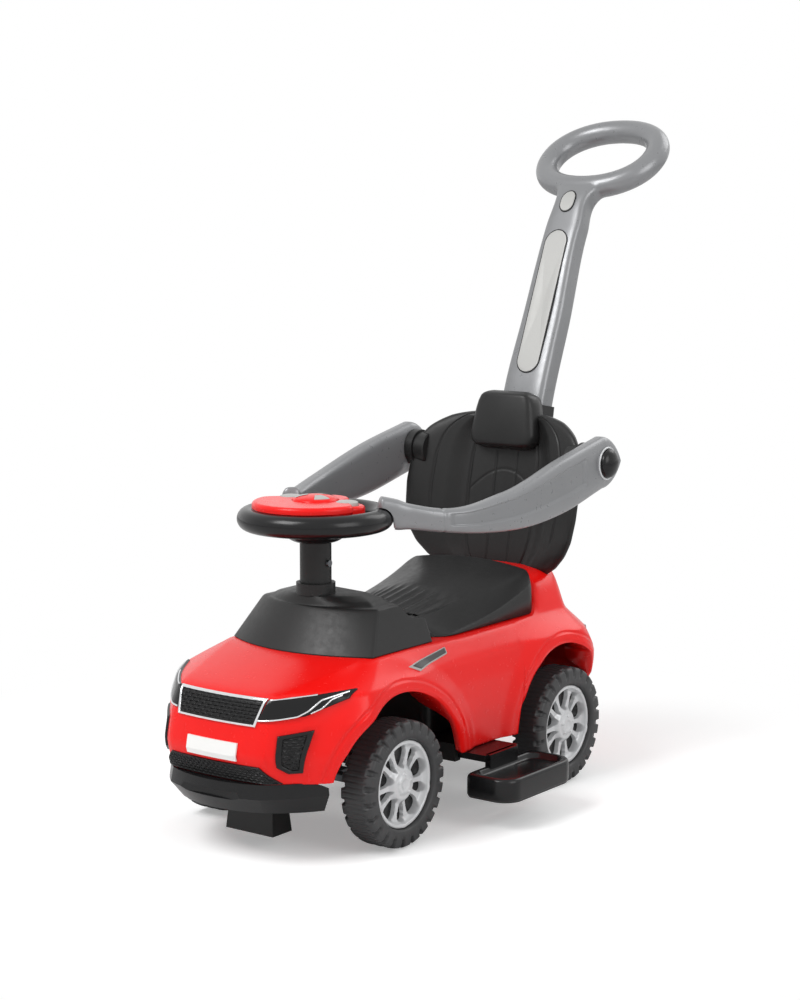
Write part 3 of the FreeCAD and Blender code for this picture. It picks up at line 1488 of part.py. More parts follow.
def make_socket(back, head):
    """A tube behind the backrest, closed at its foot, that takes the handle's post."""
    body = new_body("socket")
    grow = "socket_wall + part_gap"
    outer = rounded(sketch_on(body, "XY", "socket_foot"),
                    f"{POST_MIDDLE} - post_thickness / 2 - ({grow})", "0",
                    f"-post_width / 2 - ({grow})", f"post_width / 2 + {grow}", "post_corner")
    pad(body, outer, "socket_top - socket_foot")
    inner = post_outline(sketch_on(body, "XY", "socket_top", POST_MIDDLE), "post_width", "post_thickness",
                         "part_gap")
    pocket(body, inner, "socket_top - socket_foot - socket_floor")
    seated = boolean("Cut", "socket_on_back", lean(body), back)
    node(boolean("Cut", "socket_seated", seated, head), "handle_socket")


def leaned_x(forward, up):
    return f"(back_x + ({forward}) * cos(back_lean) - ({up}) * sin(back_lean))"


def leaned_z(forward, up):
    return f"({BACK_FOOT} + ({forward}) * sin(back_lean) + ({up}) * cos(back_lean))"


def tilted_sketch(body, x, z, tilt):
    """A level sketch moved to a point of the middle plane and tilted rearward."""
    sketch = body.newObject("Sketcher::SketchObject", "sketch")
    sketch.AttachmentSupport = [(origin_of(body, "XY_Plane"), "")]
    sketch.MapMode = "FlatFace"
    spin = FreeCAD.Rotation(V(0, -1, 0), size(tilt))
    sketch.AttachmentOffset = FreeCAD.Placement(V(), spin)
    bind(sketch, AttachmentOffset__Base__x=x, AttachmentOffset__Base__z=z,
         AttachmentOffset__Rotation__Angle=tilt)
    return sketch


def post_stations():
    """Middle line of the post as (x, z, tilt, width, thickness), from its foot to the loop."""
    foot = "socket_foot + socket_floor + part_gap"
    end_x = "-loop_rear + 2 * loop_half_length * cos(loop_rise)"
    end_z = "loop_top - 2 * loop_half_length * sin(loop_rise)"
    return (
        (leaned_x(POST_MIDDLE, foot), leaned_z(POST_MIDDLE, foot), "back_lean", "post_width",
         "post_thickness"),
        (leaned_x(POST_MIDDLE, "socket_top"), leaned_z(POST_MIDDLE, "socket_top"), "back_lean",
         "post_width", "post_thickness"),
        ("post_mid_x", "post_mid_z", "post_mid_lean", "post_mid_width", "post_thickness"),
        ("post_high_x", "post_high_z", "post_high_lean", "post_high_width", "post_thickness - panel_plate"),
        (end_x, end_z, "90 - loop_rise", "post_end_width", "post_end_thickness"),
    )


def make_post(name, shift):
    """The post, straight in its socket and bent rearward above it, moved forward by a shift."""
    body = new_body(name)

    def outlines(stations):
        return [post_outline(tilted_sketch(body, x, z, tilt), width, thickness, shift=shift)
                for x, z, tilt, width, thickness in stations]

    loft(body, outlines(post_stations()[:2]))
    loft(body, outlines(post_stations()[1:]), ruled=False)
    return body


def make_loop():
    """An oval tube of four tangent arcs, lying in a plane that rises rearward."""
    body = new_body("loop")
    side_arc = ("((loop_half_width * loop_half_width + loop_half_length * loop_half_length"
                " - 2 * loop_half_width * loop_end_radius) / (2 * (loop_half_length - loop_end_radius)))")
    end_y = "(loop_half_width - loop_end_radius)"
    side_x = f"({side_arc} - loop_half_length)"
    slant = f"atan({end_y} / {side_x})"
    meet_y = f"({end_y} + loop_end_radius * sin({slant}))"
    meet_x = f"(loop_end_radius * cos({slant}))"
    path = draw(
        sketch_on(body, "XY"),
        (meet_x, f"-{meet_y}", "0", "-loop_half_width"),
        (meet_x, meet_y, "loop_half_length", "0"),
        (f"-{meet_x}", meet_y, "0", "loop_half_width"),
        (f"-{meet_x}", f"-{meet_y}", "-loop_half_length", "0"),
    )
    section = tube_section(sketch_on(body, "XZ"), "loop_half_length", "loop_tube_radius")
    sweep = body.newObject("PartDesign::AdditivePipe", "sweep")
    sweep.Profile = section
    sweep.Spine = (path, [])
    return put(body, "-loop_rear + loop_half_length * cos(loop_rise)", "0",
               "loop_top - loop_half_length * sin(loop_rise)", V(0, 1, 0), "loop_rise")


def post_inlay(label, outline_of, post, raised):
    """A thin plate on the post's front, with an outline in front view."""
    block = new_body(f"{label}_block")
    pad(block, outline_of(sketch_on(block, "YZ", "-loop_rear")), "loop_rear")
    plate = boolean("Cut", f"{label}_plate", boolean("Common", f"{label}_skin", block, raised), post)
    node(plate, label)


def make_handle():
    """The push handle, with a capsule-shaped panel and an oval badge on its front."""
    post = make_post("post", "0")
    node(join("handle", post, make_loop()), "push_handle")
    raised = make_post("post_raised", "panel_plate")
    half = "panel_plate_width / 2"
    post_inlay("handle_panel", lambda sketch: rounded(
        sketch, f"-{half}", half, "panel_plate_foot", "panel_plate_foot + panel_plate_length",
        f"{half} - part_gap"), post, raised)
    post_inlay("handle_badge", lambda sketch: rounded(
        sketch, "-badge_half", "badge_half", "badge_middle - badge_height", "badge_middle + badge_height",
        "badge_half - part_gap"), post, raised)


# Guard arms

def make_guard_arms():
    """A deep arm that thins and swings inward to a saddle over the steering wheel's rim."""
    arm = new_body("arm")
    run = "(column_x - wheel_ring_radius * cos(60) - pivot_x)"
    swing = "(arm_inner + arm_rear_thickness / 2 - wheel_ring_radius * sin(60))"
    fall = "(pivot_z - wheel_height)"
    boss = ring(sketch_on(arm, "XZ", "arm_inner"), "pivot_x", "pivot_z", "pivot_radius")
    pad(arm, boss, "arm_rear_thickness", reverse=True)
    sketches = []
    for along, inward, down, depth, taper, turn in ARM_STATION_SHARES:
        thick = f"(arm_rear_thickness - (arm_rear_thickness - arm_tip_thickness) * {taper})"
        deep = f"(pivot_radius * 2 * {depth})"
        section = sketch_on(
            arm, "YZ", f"pivot_x + {run} * {along}",
            f"arm_inner + arm_rear_thickness / 2 - {swing} * {inward}",
            f"pivot_z - {fall} * {down}", f"-45 * {turn}")
        sketches.append(chamfered(section, f"-{thick} / 2", f"{thick} / 2", f"-{deep} / 2", f"{deep} / 2",
                                  f"{thick} * arm_corner_share"))
    loft(arm, sketches, ruled=False)
    bore = ring(sketch_on(arm, "XZ", "arm_inner - overrun"), "pivot_x", "pivot_z", "pin_radius + part_gap")
    pocket(arm, bore, "overrun + arm_rear_thickness - knob_step")
    hollow = "wheel_tube_radius + saddle_gap"
    saddle = hoop("saddle", "wheel_ring_radius", hollow, "column_x", "0", "wheel_height")
    below = cylinder("saddle_way", f"wheel_ring_radius + {hollow}", "wheel_height", "column_x", "0", "0", "Z")
    both_sides(boolean("Cut", "arm_saddled", arm, join("saddle_cut", saddle, below)), "guard_arm")
    knob = new_body("knob")
    section = draw(
        sketch_on(knob, "YZ"),
        ("0", "0"),
        ("0", "knob_radius"),
        ("knob_step", "knob_radius"),
        *[(f"knob_step + (knob_height - knob_step) * {rise}", f"knob_radius * {share}")
          for share, rise in DOME_STEP_SHARES],
        ("knob_height", "0"),
    )
    revolve(knob, section, "H_Axis")
    put(knob, "pivot_x", "arm_inner + arm_rear_thickness", "pivot_z")
    both_sides(knob, "arm_knob")
    pin_start = f"{SPACER_START} - back_boss_length / 2"
    pin_end = "arm_inner + arm_rear_thickness - knob_step - part_gap"
    pin = cylinder("arm_pin", "pin_radius", f"{pin_end} - ({pin_start})", "pivot_x", pin_start, "pivot_z",
                   "Y")
    node(group("pins", pin, mirror(pin, "arm_pin_right")), "arm_pins")
    spacer = new_body("spacer")
    outline = ring(sketch_on(spacer, "XZ", SPACER_START), "pivot_x", "pivot_z", "spacer_radius")
    ring(outline, "pivot_x", "pivot_z", "pin_radius + running_gap")
    pad(spacer, outline, "spacer_thickness", reverse=True)
    node(group("spacers", spacer, mirror(spacer, "spacer_right")), "arm_spacers")


def check_and_write():
    """Stops on any failed feature or bad solid, then writes one file for each sub-part."""
    doc.recompute()
    failed = [item.Name for item in doc.Objects if {"Invalid", "Error"} & set(item.State)]
    if failed:
        raise RuntimeError(f"failed: {failed}")
    for item in nodes:
        if item.Shape.isNull() or not item.Shape.isValid() or not item.Shape.Solids:
            raise RuntimeError(f"bad shape: {item.Label}")
    os.makedirs("parts", exist_ok=True)
    for item in nodes:
        item.Shape.exportStep(f"parts/{item.Label}.step")
        print(item.Label, len(item.Shape.Solids), round(item.Shape.Volume / 1000, 2))


fill_sheet()
make_wheels()
make_rear_axle()
for name, side, hole in (("left", 1, "link_pin_radius + running_gap"),
                         ("right", -1, "link_pin_radius + open_pivot_gap")):
    make_knuckle(f"knuckle_{name}", side, hole)
make_tie_rod()
make_steering_rod()
make_column()
make_horn_panel(make_steering_wheel())
hull = hull_solid("hull", "0")
make_body_shell(hull)
make_front_trim(hull)
make_front_foot()
make_chassis_pan()
make_front_beam()
make_footrests()
make_dashboard()
make_seat()
make_storage_box()
back = make_backrest()
make_socket(back, make_headrest(back))
make_handle()
make_guard_arms()
check_and_write()
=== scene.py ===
# %% [markdown]
# # A ride-on push car, dressed in Blender
# The solid model gives the frame: where each piece is and how it moves. This lesson adds what
# moulded plastic shows the eye: round edges, swelling wings, treads, seams and finishes.
# Each cell makes one piece or one finish, and says why it is made that way.

import json

import bmesh
import bpy
import numpy as np
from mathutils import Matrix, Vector


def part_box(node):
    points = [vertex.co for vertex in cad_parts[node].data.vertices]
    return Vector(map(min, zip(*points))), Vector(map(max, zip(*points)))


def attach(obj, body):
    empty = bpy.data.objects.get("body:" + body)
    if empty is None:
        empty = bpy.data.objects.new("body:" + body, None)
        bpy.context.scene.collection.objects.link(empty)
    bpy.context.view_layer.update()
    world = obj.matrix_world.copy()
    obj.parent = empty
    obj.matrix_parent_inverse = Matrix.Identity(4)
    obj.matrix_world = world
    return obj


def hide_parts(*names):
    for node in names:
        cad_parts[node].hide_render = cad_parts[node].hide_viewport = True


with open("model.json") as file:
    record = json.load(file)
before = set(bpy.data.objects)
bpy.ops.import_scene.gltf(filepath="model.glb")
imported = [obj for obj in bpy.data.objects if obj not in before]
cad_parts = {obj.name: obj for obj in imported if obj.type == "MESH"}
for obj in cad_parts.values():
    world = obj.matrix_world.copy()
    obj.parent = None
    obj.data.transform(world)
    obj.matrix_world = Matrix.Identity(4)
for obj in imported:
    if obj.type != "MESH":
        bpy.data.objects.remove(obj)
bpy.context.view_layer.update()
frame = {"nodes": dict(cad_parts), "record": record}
nodes = frame["nodes"]
MM = 0.001

# %% [markdown]
# ## Camera, floor and light
# The photograph looks down a little on the car's front left corner with a long lens. A lens of
# 77 mm on a 36 mm frame gives the same perspective. The floor is pale, and the world shows white
# to the camera and to reflections, while large soft lamps light the car at a plain level.

# %% Camera
def add_camera(place_mm, yaw, pitch, lens):
    """A camera at a place in millimetres that looks back along yaw and pitch, in degrees."""
    turn, dip = np.radians(yaw), np.radians(pitch)
    look = Vector((-np.cos(turn) * np.cos(dip), -np.sin(turn) * np.cos(dip), -np.sin(dip)))
    data = bpy.data.cameras.new("photo_camera")
    data.lens = lens
    data.sensor_width = 36.0
    data.clip_end = 50.0
    camera = bpy.data.objects.new("photo_camera", data)
    bpy.context.scene.collection.objects.link(camera)
    camera.location = Vector(place_mm) * MM
    camera.rotation_euler = look.to_track_quat("-Z", "Y").to_euler()
    bpy.context.scene.camera = camera


add_camera((2238.2, 1548.6, 735.2), 36.7, 8.1, 77.07)
bpy.context.scene.view_settings.view_transform = "Standard"

# %% Colours and nodes
def linear(hex_code):
    """An sRGB hex colour as linear RGBA: each channel through the sRGB curve."""
    channel = np.array([int(hex_code[i:i + 2], 16) for i in (1, 3, 5)]) / 255
    curve = np.where(channel <= 0.04045, channel / 12.92, ((channel + 0.055) / 1.055) ** 2.4)
    return (*curve.tolist(), 1.0)


def add_node(tree, kind, inputs=None, **settings):
    """Adds a node, sets its properties, and sets or links its inputs."""
    node = tree.nodes.new(kind)
    for key, value in settings.items():
        setattr(node, key, value)
    for socket, value in (inputs or {}).items():
        if isinstance(value, bpy.types.NodeSocket):
            tree.links.new(value, node.inputs[socket])
        else:
            node.inputs[socket].default_value = value
    return node


def new_material(name):
    """A material with an empty tree and its output node."""
    material = bpy.data.materials.new(name)
    material.use_nodes = True
    material.node_tree.nodes.clear()
    return material, material.node_tree, material.node_tree.nodes.new("ShaderNodeOutputMaterial")


# %% Floor and lamps
FLOOR_HALF, FLOOR_LEVEL = 9.0, -0.0006


def add_stage():
    """A wide floor that keeps the car's shadow and fades to white away from the car, to the camera only."""
    mesh = bpy.data.meshes.new("floor")
    signs = ((-1, -1), (1, -1), (1, 1), (-1, 1))
    corners = [(x * FLOOR_HALF, y * FLOOR_HALF, FLOOR_LEVEL) for x, y in signs]
    mesh.from_pydata(corners, [], [(0, 1, 2, 3)])
    floor = bpy.data.objects.new("floor", mesh)
    bpy.context.scene.collection.objects.link(floor)
    material, tree, output = new_material("studio_paper")
    paper = add_node(tree, "ShaderNodeBsdfDiffuse", {"Color": linear("#f4f4f4")})
    path = add_node(tree, "ShaderNodeLightPath")
    glow = add_node(tree, "ShaderNodeEmission", {"Color": linear("#ffffff"), "Strength": 0.30})
    lifted = add_node(tree, "ShaderNodeAddShader", {0: paper.outputs[0], 1: glow.outputs[0]})
    place = add_node(tree, "ShaderNodeNewGeometry")
    shift = add_node(tree, "ShaderNodeVectorMath", {0: place.outputs["Position"], 1: (0.16, 0.0, 0.0)},
                     operation="SUBTRACT")
    reach = add_node(tree, "ShaderNodeVectorMath", {0: shift.outputs[0]}, operation="LENGTH")
    fade = add_node(tree, "ShaderNodeMapRange",
                    {"Value": reach.outputs["Value"], "From Min": 0.38, "From Max": 0.80},
                    interpolation_type="SMOOTHSTEP")
    white = add_node(tree, "ShaderNodeEmission", {"Color": linear("#ffffff"), "Strength": 1.0})
    seen = add_node(tree, "ShaderNodeMixShader",
                    {0: fade.outputs[0], 1: lifted.outputs[0], 2: white.outputs[0]})
    shown = add_node(tree, "ShaderNodeMixShader",
                     {0: path.outputs["Is Camera Ray"], 1: paper.outputs[0], 2: seen.outputs[0]})
    tree.links.new(shown.outputs[0], output.inputs["Surface"])
    mesh.materials.append(material)


def add_world():
    """White to camera, gloss and glass rays, and a softer grey as light on the car."""
    world = bpy.data.worlds.new("studio")
    bpy.context.scene.world = world
    world.use_nodes = True
    tree = world.node_tree
    tree.nodes.clear()
    path = add_node(tree, "ShaderNodeLightPath")
    straight = add_node(tree, "ShaderNodeMath",
                        {0: path.outputs["Is Camera Ray"], 1: path.outputs["Is Transmission Ray"]},
                        operation="MAXIMUM")
    seen = add_node(tree, "ShaderNodeMath", {0: straight.outputs[0], 1: path.outputs["Is Glossy Ray"]},
                    operation="MAXIMUM")
    shade = add_node(tree, "ShaderNodeBackground", {"Color": linear("#ffffff"), "Strength": 0.44})
    white = add_node(tree, "ShaderNodeBackground", {"Color": linear("#ffffff"), "Strength": 1.0})
    mix = add_node(tree, "ShaderNodeMixShader",
                   {0: seen.outputs[0], 1: shade.outputs[0], 2: white.outputs[0]})
    output = add_node(tree, "ShaderNodeOutputWorld")
    tree.links.new(mix.outputs[0], output.inputs["Surface"])


def add_lamp(name, place, target, size, watts):
    """A square soft lamp that faces a target."""
    data = bpy.data.lights.new(name, "AREA")
    data.size = size
    data.energy = watts
    lamp = bpy.data.objects.new(name, data)
    bpy.context.scene.collection.objects.link(lamp)
    lamp.location = place
    lamp.rotation_euler = (Vector(target) - Vector(place)).to_track_quat("-Z", "Y").to_euler()


add_stage()
add_world()
add_lamp("key_lamp", (2.2, -0.6, 2.6), (0.15, 0.0, 0.3), 1.4, 62)
add_lamp("side_lamp", (0.4, 3.0, 1.7), (0.15, 0.0, 0.3), 1.8, 30)
add_lamp("back_lamp", (-2.4, 0.6, 2.2), (0.0, 0.0, 0.4), 1.6, 18)
print("stage set")

# %% [markdown]
# ## Finishes
# Nearly all of this car is moulded plastic: polypropylene for body and frame, some of it coloured
# through and glossy from a polished tool, some with a spark-eroded grain. A pigmented gloss
# plastic shows a clear highlight with faint waviness; a grained one breaks the highlight up.
# One recipe makes these, from a colour, a roughness and the sizes of its grain and waviness.

# %% Moulded plastic
TONE_MM, SCUFF_MM, BUMP_MM = 70, 9, 0.2


def moulded_plastic(name, hex_code, shade_hex, roughness, grain_mm, grain_depth,
                    metallic=0.0, coat=0.0, mirror=0.5):
    """Plastic: two near colours mixed by a broad noise, rougher where scuffed, with a fine grain as
    its bump."""
    material, tree, output = new_material(name)
    place = add_node(tree, "ShaderNodeTexCoord")
    broad = add_node(tree, "ShaderNodeTexNoise",
                     {"Vector": place.outputs["Object"], "Scale": 1 / (TONE_MM * MM), "Detail": 3.0})
    tone = add_node(tree, "ShaderNodeMix",
                    {0: broad.outputs["Fac"], 6: linear(hex_code), 7: linear(shade_hex)},
                    data_type="RGBA")
    scuff = add_node(tree, "ShaderNodeTexNoise",
                     {"Vector": place.outputs["Object"], "Scale": 1 / (SCUFF_MM * MM),
                      "Detail": 5.0, "Roughness": 0.65})
    rough = add_node(tree, "ShaderNodeMapRange",
                     {"Value": scuff.outputs["Fac"], "From Min": 0.35, "From Max": 0.7,
                      "To Min": roughness * 0.88, "To Max": roughness * 1.14})
    grain = add_node(tree, "ShaderNodeTexNoise",
                     {"Vector": place.outputs["Object"], "Scale": 1 / (grain_mm * MM), "Detail": 2.0})
    bump = add_node(tree, "ShaderNodeBump",
                    {"Height": grain.outputs["Fac"], "Strength": grain_depth, "Distance": BUMP_MM * MM})
    shader = add_node(tree, "ShaderNodeBsdfPrincipled",
                      {"Base Color": tone.outputs[2], "Roughness": rough.outputs[0],
                       "Normal": bump.outputs[0], "Metallic": metallic, "Coat Weight": coat,
                       "Coat Roughness": 0.08, "Specular IOR Level": mirror})
    tree.links.new(shader.outputs[0], output.inputs["Surface"])
    return material


finish = {
    # Pigmented gloss polypropylene from a polished tool: clear highlights with a slight waviness
    "red_shell": moulded_plastic("gloss_red_polypropylene", "#f21714", "#e9120f", 0.25, 6.0, 0.06,
                                 mirror=0.26),
    # Carbon-black polypropylene with a spark-eroded grain: a broad dull sheen
    "black_plastic": moulded_plastic("grained_black_polypropylene", "#1e1e1e", "#242424", 0.40, 1.6,
                                     0.20, mirror=0.28),
    # Black from a smoother tool, for bumper, vents, knobs, steering wheel and trays
    "black_trim": moulded_plastic("smooth_black_polypropylene", "#101011", "#151516", 0.24, 2.5, 0.06,
                                  mirror=0.30),
    # Grey polypropylene with aluminium flake: soft metallic highlights
    "silver_plastic": moulded_plastic("flake_silver_polypropylene", "#828385", "#8a8b8d", 0.31, 6.0,
                                      0.04, metallic=0.30),
    "rim_silver": moulded_plastic("bright_silver_polypropylene", "#d2d3d4", "#c6c7c9", 0.32, 1.2, 0.08,
                                  metallic=0.2),
    # Chrome plate over plastic
    "bright_trim": moulded_plastic("chrome_plated_plastic", "#e6e7e8", "#dcdddf", 0.10, 5.0, 0.03,
                                   metallic=1.0),
    # Blow-moulded polyethylene tyre: dull and slightly waxy
    "tyre_plastic": moulded_plastic("blow_moulded_polyethylene", "#303031", "#383839", 0.46, 1.4, 0.25,
                                    mirror=0.4),
    # Bare white film, and the dark and red films of the lamps
    "white_plate": moulded_plastic("white_plate_film", "#f2f2f0", "#ececea", 0.34, 3.0, 0.05),
    "light_lens": moulded_plastic("dark_lens_film", "#0b0b0c", "#101012", 0.16, 6.0, 0.04, mirror=0.3),
    "red_lens": moulded_plastic("red_lens_film", "#8c0d10", "#7a0a0d", 0.16, 6.0, 0.04, coat=0.6),
    # Satin silver of buttons, plates and inlay edges, and zinc plate on axle, rods and pins
    "button_silver": moulded_plastic("satin_silver_plastic", "#b6b6b3", "#aeaeac", 0.42, 3.0, 0.02,
                                     metallic=0.10),
    "steel": moulded_plastic("zinc_plated_steel", "#6a6c6f", "#626467", 0.40, 1.0, 0.10, metallic=1.0),
}
slot_of = {row["node"]: row["material_slot"] for row in frame["record"]["subparts"]}
for name, item in nodes.items():
    item.data.materials.clear()
    item.data.materials.append(finish[slot_of[name]])
print("finishes:", len(finish))

# %% [markdown]
# ## Surfaces from arrays
# Every new piece below is a surface with two parameters: one runs along the piece, the other
# round or across it. Numpy works out all its points at once, and one helper turns the grid of
# points into a mesh. The helper closes the grid where the surface comes back on itself.

# %% Grid to mesh
MERGE_MM = 0.02
MIRROR = {"left": np.array([1.0, 1.0, 1.0]), "right": np.array([1.0, -1.0, 1.0])}


def grid_faces(rows, columns, wrap_rows, wrap_columns):
    """Quads of a grid: each joins a point, the next along its row, and the two in the next row."""
    row = np.arange(rows if wrap_rows else rows - 1)
    column = np.arange(columns if wrap_columns else columns - 1)
    first, second = np.meshgrid(row, column, indexing="ij")
    next_row, next_column = (first + 1) % rows, (second + 1) % columns
    corners = [first * columns + second, next_row * columns + second,
               next_row * columns + next_column, first * columns + next_column]
    return np.stack(corners, axis=-1).reshape(-1, 4)


def make_piece(name, grids, slot, body, stands_for=(), crease=None, solid=0.0):
    """One mesh from grids of points in millimetres. A grid is (points, wrap_rows, wrap_columns) with an
    optional mask of the quads to keep; its caps are closed by merging points that lie together."""
    points, faces, start = [], [], 0
    for grid, wrap_rows, wrap_columns, *keep in grids:
        rows, columns = grid.shape[:2]
        quads = grid_faces(rows, columns, wrap_rows, wrap_columns)
        if keep:
            quads = quads[keep[0](grid.reshape(-1, 3)[quads].mean(axis=1))]
        points.append(grid.reshape(-1, 3))
        faces.append(quads + start)
        start += rows * columns
    mesh = bpy.data.meshes.new(name)
    mesh.from_pydata((np.concatenate(points) * MM).tolist(), [], np.concatenate(faces).tolist())
    shape = bmesh.new()
    shape.from_mesh(mesh)
    bmesh.ops.remove_doubles(shape, verts=shape.verts, dist=MERGE_MM * MM)
    bmesh.ops.dissolve_degenerate(shape, edges=shape.edges, dist=MERGE_MM * MM / 10)
    bmesh.ops.recalc_face_normals(shape, faces=shape.faces)
    shape.to_mesh(mesh)
    shape.free()
    mesh.polygons.foreach_set("use_smooth", np.ones(len(mesh.polygons), bool))
    if crease:
        mesh.set_sharp_from_angle(angle=np.radians(crease))
    item = bpy.data.objects.new(name, mesh)
    bpy.context.scene.collection.objects.link(item)
    mesh.materials.append(finish[slot])
    if solid:
        wall = item.modifiers.new("wall", "SOLIDIFY")
        wall.thickness = solid * MM
        wall.offset = -1.0
    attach(item, body)
    if stands_for:
        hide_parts(*stands_for)
    print(name, len(mesh.polygons), "faces")
    return item


# %% Shaping helpers
def ease(value, low, high):
    """Smooth step from 0 at low to 1 at high: 3t^2 - 2t^3."""
    t = np.clip((value - low) / (high - low), 0, 1)
    return t * t * (3 - 2 * t)


def through_rows(rows, places, at):
    """Cubic Hermite curve through rows of points at given places, with slopes from their neighbours.
    The slope at a row is the difference of the rows beside it over the difference of their places."""
    rows, places = np.asarray(rows, float), np.asarray(places, float)
    slope = np.gradient(rows, places, axis=0)
    spot = np.clip(np.searchsorted(places, at, side="right") - 1, 0, len(places) - 2)
    width = places[spot + 1] - places[spot]
    shape = (len(at),) + (1,) * (rows.ndim - 1)
    t = ((at - places[spot]) / width).reshape(shape)
    width = width.reshape(shape)
    return ((2 * t**3 - 3 * t**2 + 1) * rows[spot] + (t**3 - 2 * t**2 + t) * width * slope[spot]
            + (3 * t**2 - 2 * t**3) * rows[spot + 1] + (t**3 - t**2) * width * slope[spot + 1])


def round_section(count, power):
    """A unit super-ellipse: cosine and sine of an angle, each to the power 2/n with its sign kept."""
    angle = np.linspace(0, 2 * np.pi, count, endpoint=False)
    return (np.sign(np.cos(angle)) * np.abs(np.cos(angle)) ** (2 / power),
            np.sign(np.sin(angle)) * np.abs(np.sin(angle)) ** (2 / power))


def spin(profile, middle, axis, count=72):
    """A profile of (radius, place) rows turned about an axis through a middle point."""
    angle = np.linspace(0, 2 * np.pi, count, endpoint=False)[None, :]
    profile = np.asarray(profile, float)
    reach, place = profile[:, :1], profile[:, 1:2]
    flat = (reach * np.cos(angle), reach * np.sin(angle))
    parts = {"Z": (flat[0], flat[1], place + 0 * angle), "Y": (flat[0], place + 0 * angle, flat[1])}[axis]
    return np.stack(parts, axis=-1) + np.asarray(middle, float)


# %% [markdown]
# ## Tyres
# The tyres are blow-moulded in one piece: a rounded block section, a tread of cross grooves, and
# hooked notches round each shoulder. A carved tread could be cut with booleans, but one grid with
# the notches pressed into it keeps every edge soft, as a blown skin is.

# %% Tyres
TYRE_BORE, RIM_RADIUS = 50.8, 50.6
NOTCHES, SPOKE_PAIRS = 24, 5
WHEELS = [(end, side) for end in ("front", "rear") for side in MIRROR]


def tyre_surface(radius, bore, half_width, notches):
    """Rows go round the axle and columns round the section, a super-ellipse between bore and tread.
    Notches pull the shoulder in by a smooth pulse of the angle; grooves do the same, shallower, on
    the tread."""
    angle = np.linspace(0, 2 * np.pi, notches * 20, endpoint=False)[:, None]
    across, up = round_section(56, 5.0)
    reach = (radius + bore) / 2 + (radius - bore) / 2 * up[None, :]
    side = half_width * across[None, :] + 0 * angle
    turn = (angle * notches / (2 * np.pi)) % 1
    notch = ease(0.20 - np.abs(turn - 0.5), 0.0, 0.07)
    shoulder = (ease(np.abs(side), half_width * 0.62, half_width * 0.8)
                * ease(reach, radius - 11, radius - 7))
    tread = ease(reach, radius - 4, radius - 1)
    fine = (angle * notches * 3 / (2 * np.pi)) % 1
    groove = ease(0.16 - np.abs(fine - 0.5), 0.0, 0.1) * tread
    ring_line = ease(2.2 - np.abs(np.abs(side) - half_width * 0.42), 0, 1.6) * tread
    reach = reach - 4.2 * notch * shoulder - 1.3 * np.maximum(groove * (1 - shoulder), ring_line)
    side = side - np.sign(side) * 2.4 * notch * shoulder
    return np.stack([reach * np.sin(angle), side, reach * np.cos(angle)], axis=-1)


def node_middle(name):
    """Middle and size of a solid's box, in millimetres."""
    low, high = (np.array(corner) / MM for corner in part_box(name))
    return (low + high) / 2, high - low


for end, side in WHEELS:
    middle, extent = node_middle(f"tyre_{end}_{side}")
    tyre = tyre_surface(extent[2] / 2, TYRE_BORE, extent[1] / 2, NOTCHES) + middle
    make_piece(f"tread_{end}_{side}", [(tyre, True, True)], "tyre_plastic", f"{end}_{side}_wheel",
               [f"tyre_{end}_{side}"])

# %% [markdown]
# ## Rims
# Five pairs of spokes run from a domed hub to a raised lip. Between two spokes of a pair is a
# narrow window, between pairs a wide one, both round at their ends. The face is a height map in
# polar form: windows are sunk where a super-ellipse of radius and angle says so. A black disc
# behind the spokes is painted shade: it stands in for the shadowed inside of the hollow wheel.

# %% Rims
# Place and size of the black disc of painted shade behind the spokes
SHADE_DISC_DEPTH, SHADE_DISC_INNER, SHADE_DISC_OUTER = 14.4, 17, 46.5


def rim_surface(radius, half_width, pairs):
    """Rows go out along the radius, columns round the axle. The face is a dish with a lip and a hub,
    less the windows; then the barrel runs back and the rear face closes to the axle's hole."""
    reach = np.concatenate([np.linspace(0, 6, 6), np.linspace(7, 17, 12), np.linspace(17.6, 46.6, 56),
                            np.linspace(47, radius, 6)])[:, None]
    angle = np.linspace(0, 2 * np.pi, pairs * 84, endpoint=False)[None, :]
    pitch = 2 * np.pi / pairs
    near = (angle + pitch / 2) % pitch - pitch / 2
    far = angle % pitch - pitch / 2
    depth = 0
    for offset, grow, end in ((near, 0.318, 44.6), (far, 0.20, 44.2)):
        half = grow * reach - 1.6
        middle, length = (19.5 + end) / 2, (end - 19.5) / 2
        inside = (np.abs(offset * reach / np.maximum(half, 0.5)) ** 2.6
                  + np.abs((reach - middle) / length) ** 2.6) ** (1 / 2.6)
        depth = np.maximum(depth, ease(1.10 - inside, 0.0, 0.16))
    dish = -5.0 * ease(reach, 16, 24) * (1 - ease(reach, 42, 47))
    lip = 1.4 * ease(reach, 45.2, 46.6) - 1.2 * ease(reach, radius - 1.2, radius)
    hub = 2.2 * (1 - ease(reach, 9, 14)) - 1.4 * (1 - ease(reach, 5.0, 6.6))
    bolts = 1.6 * ease(2.4 - np.hypot(reach - 11.6, 11.6 * near), 0, 1.2)
    crest = -0.9 * ease(np.abs(far * reach), 2.0, 7.0) * ease(reach, 19, 24)
    face = half_width - 3.2 + dish + lip + hub + bolts + crest - 13.0 * depth
    front = np.stack([reach * np.sin(angle), face, reach * np.cos(angle)], axis=-1)
    rear_reach = np.array([radius, radius, 44.0, 44.0, 8.0, 5.6, 5.6, 0.0])[:, None]
    rear_face = np.array([half_width - 6, -half_width, -half_width, -2.0, -2.0, -2.0, 1.0, 1.0])[:, None]
    rear = np.stack([rear_reach * np.sin(angle), rear_face + 0 * angle, rear_reach * np.cos(angle)],
                    axis=-1)
    return np.concatenate([front, rear])


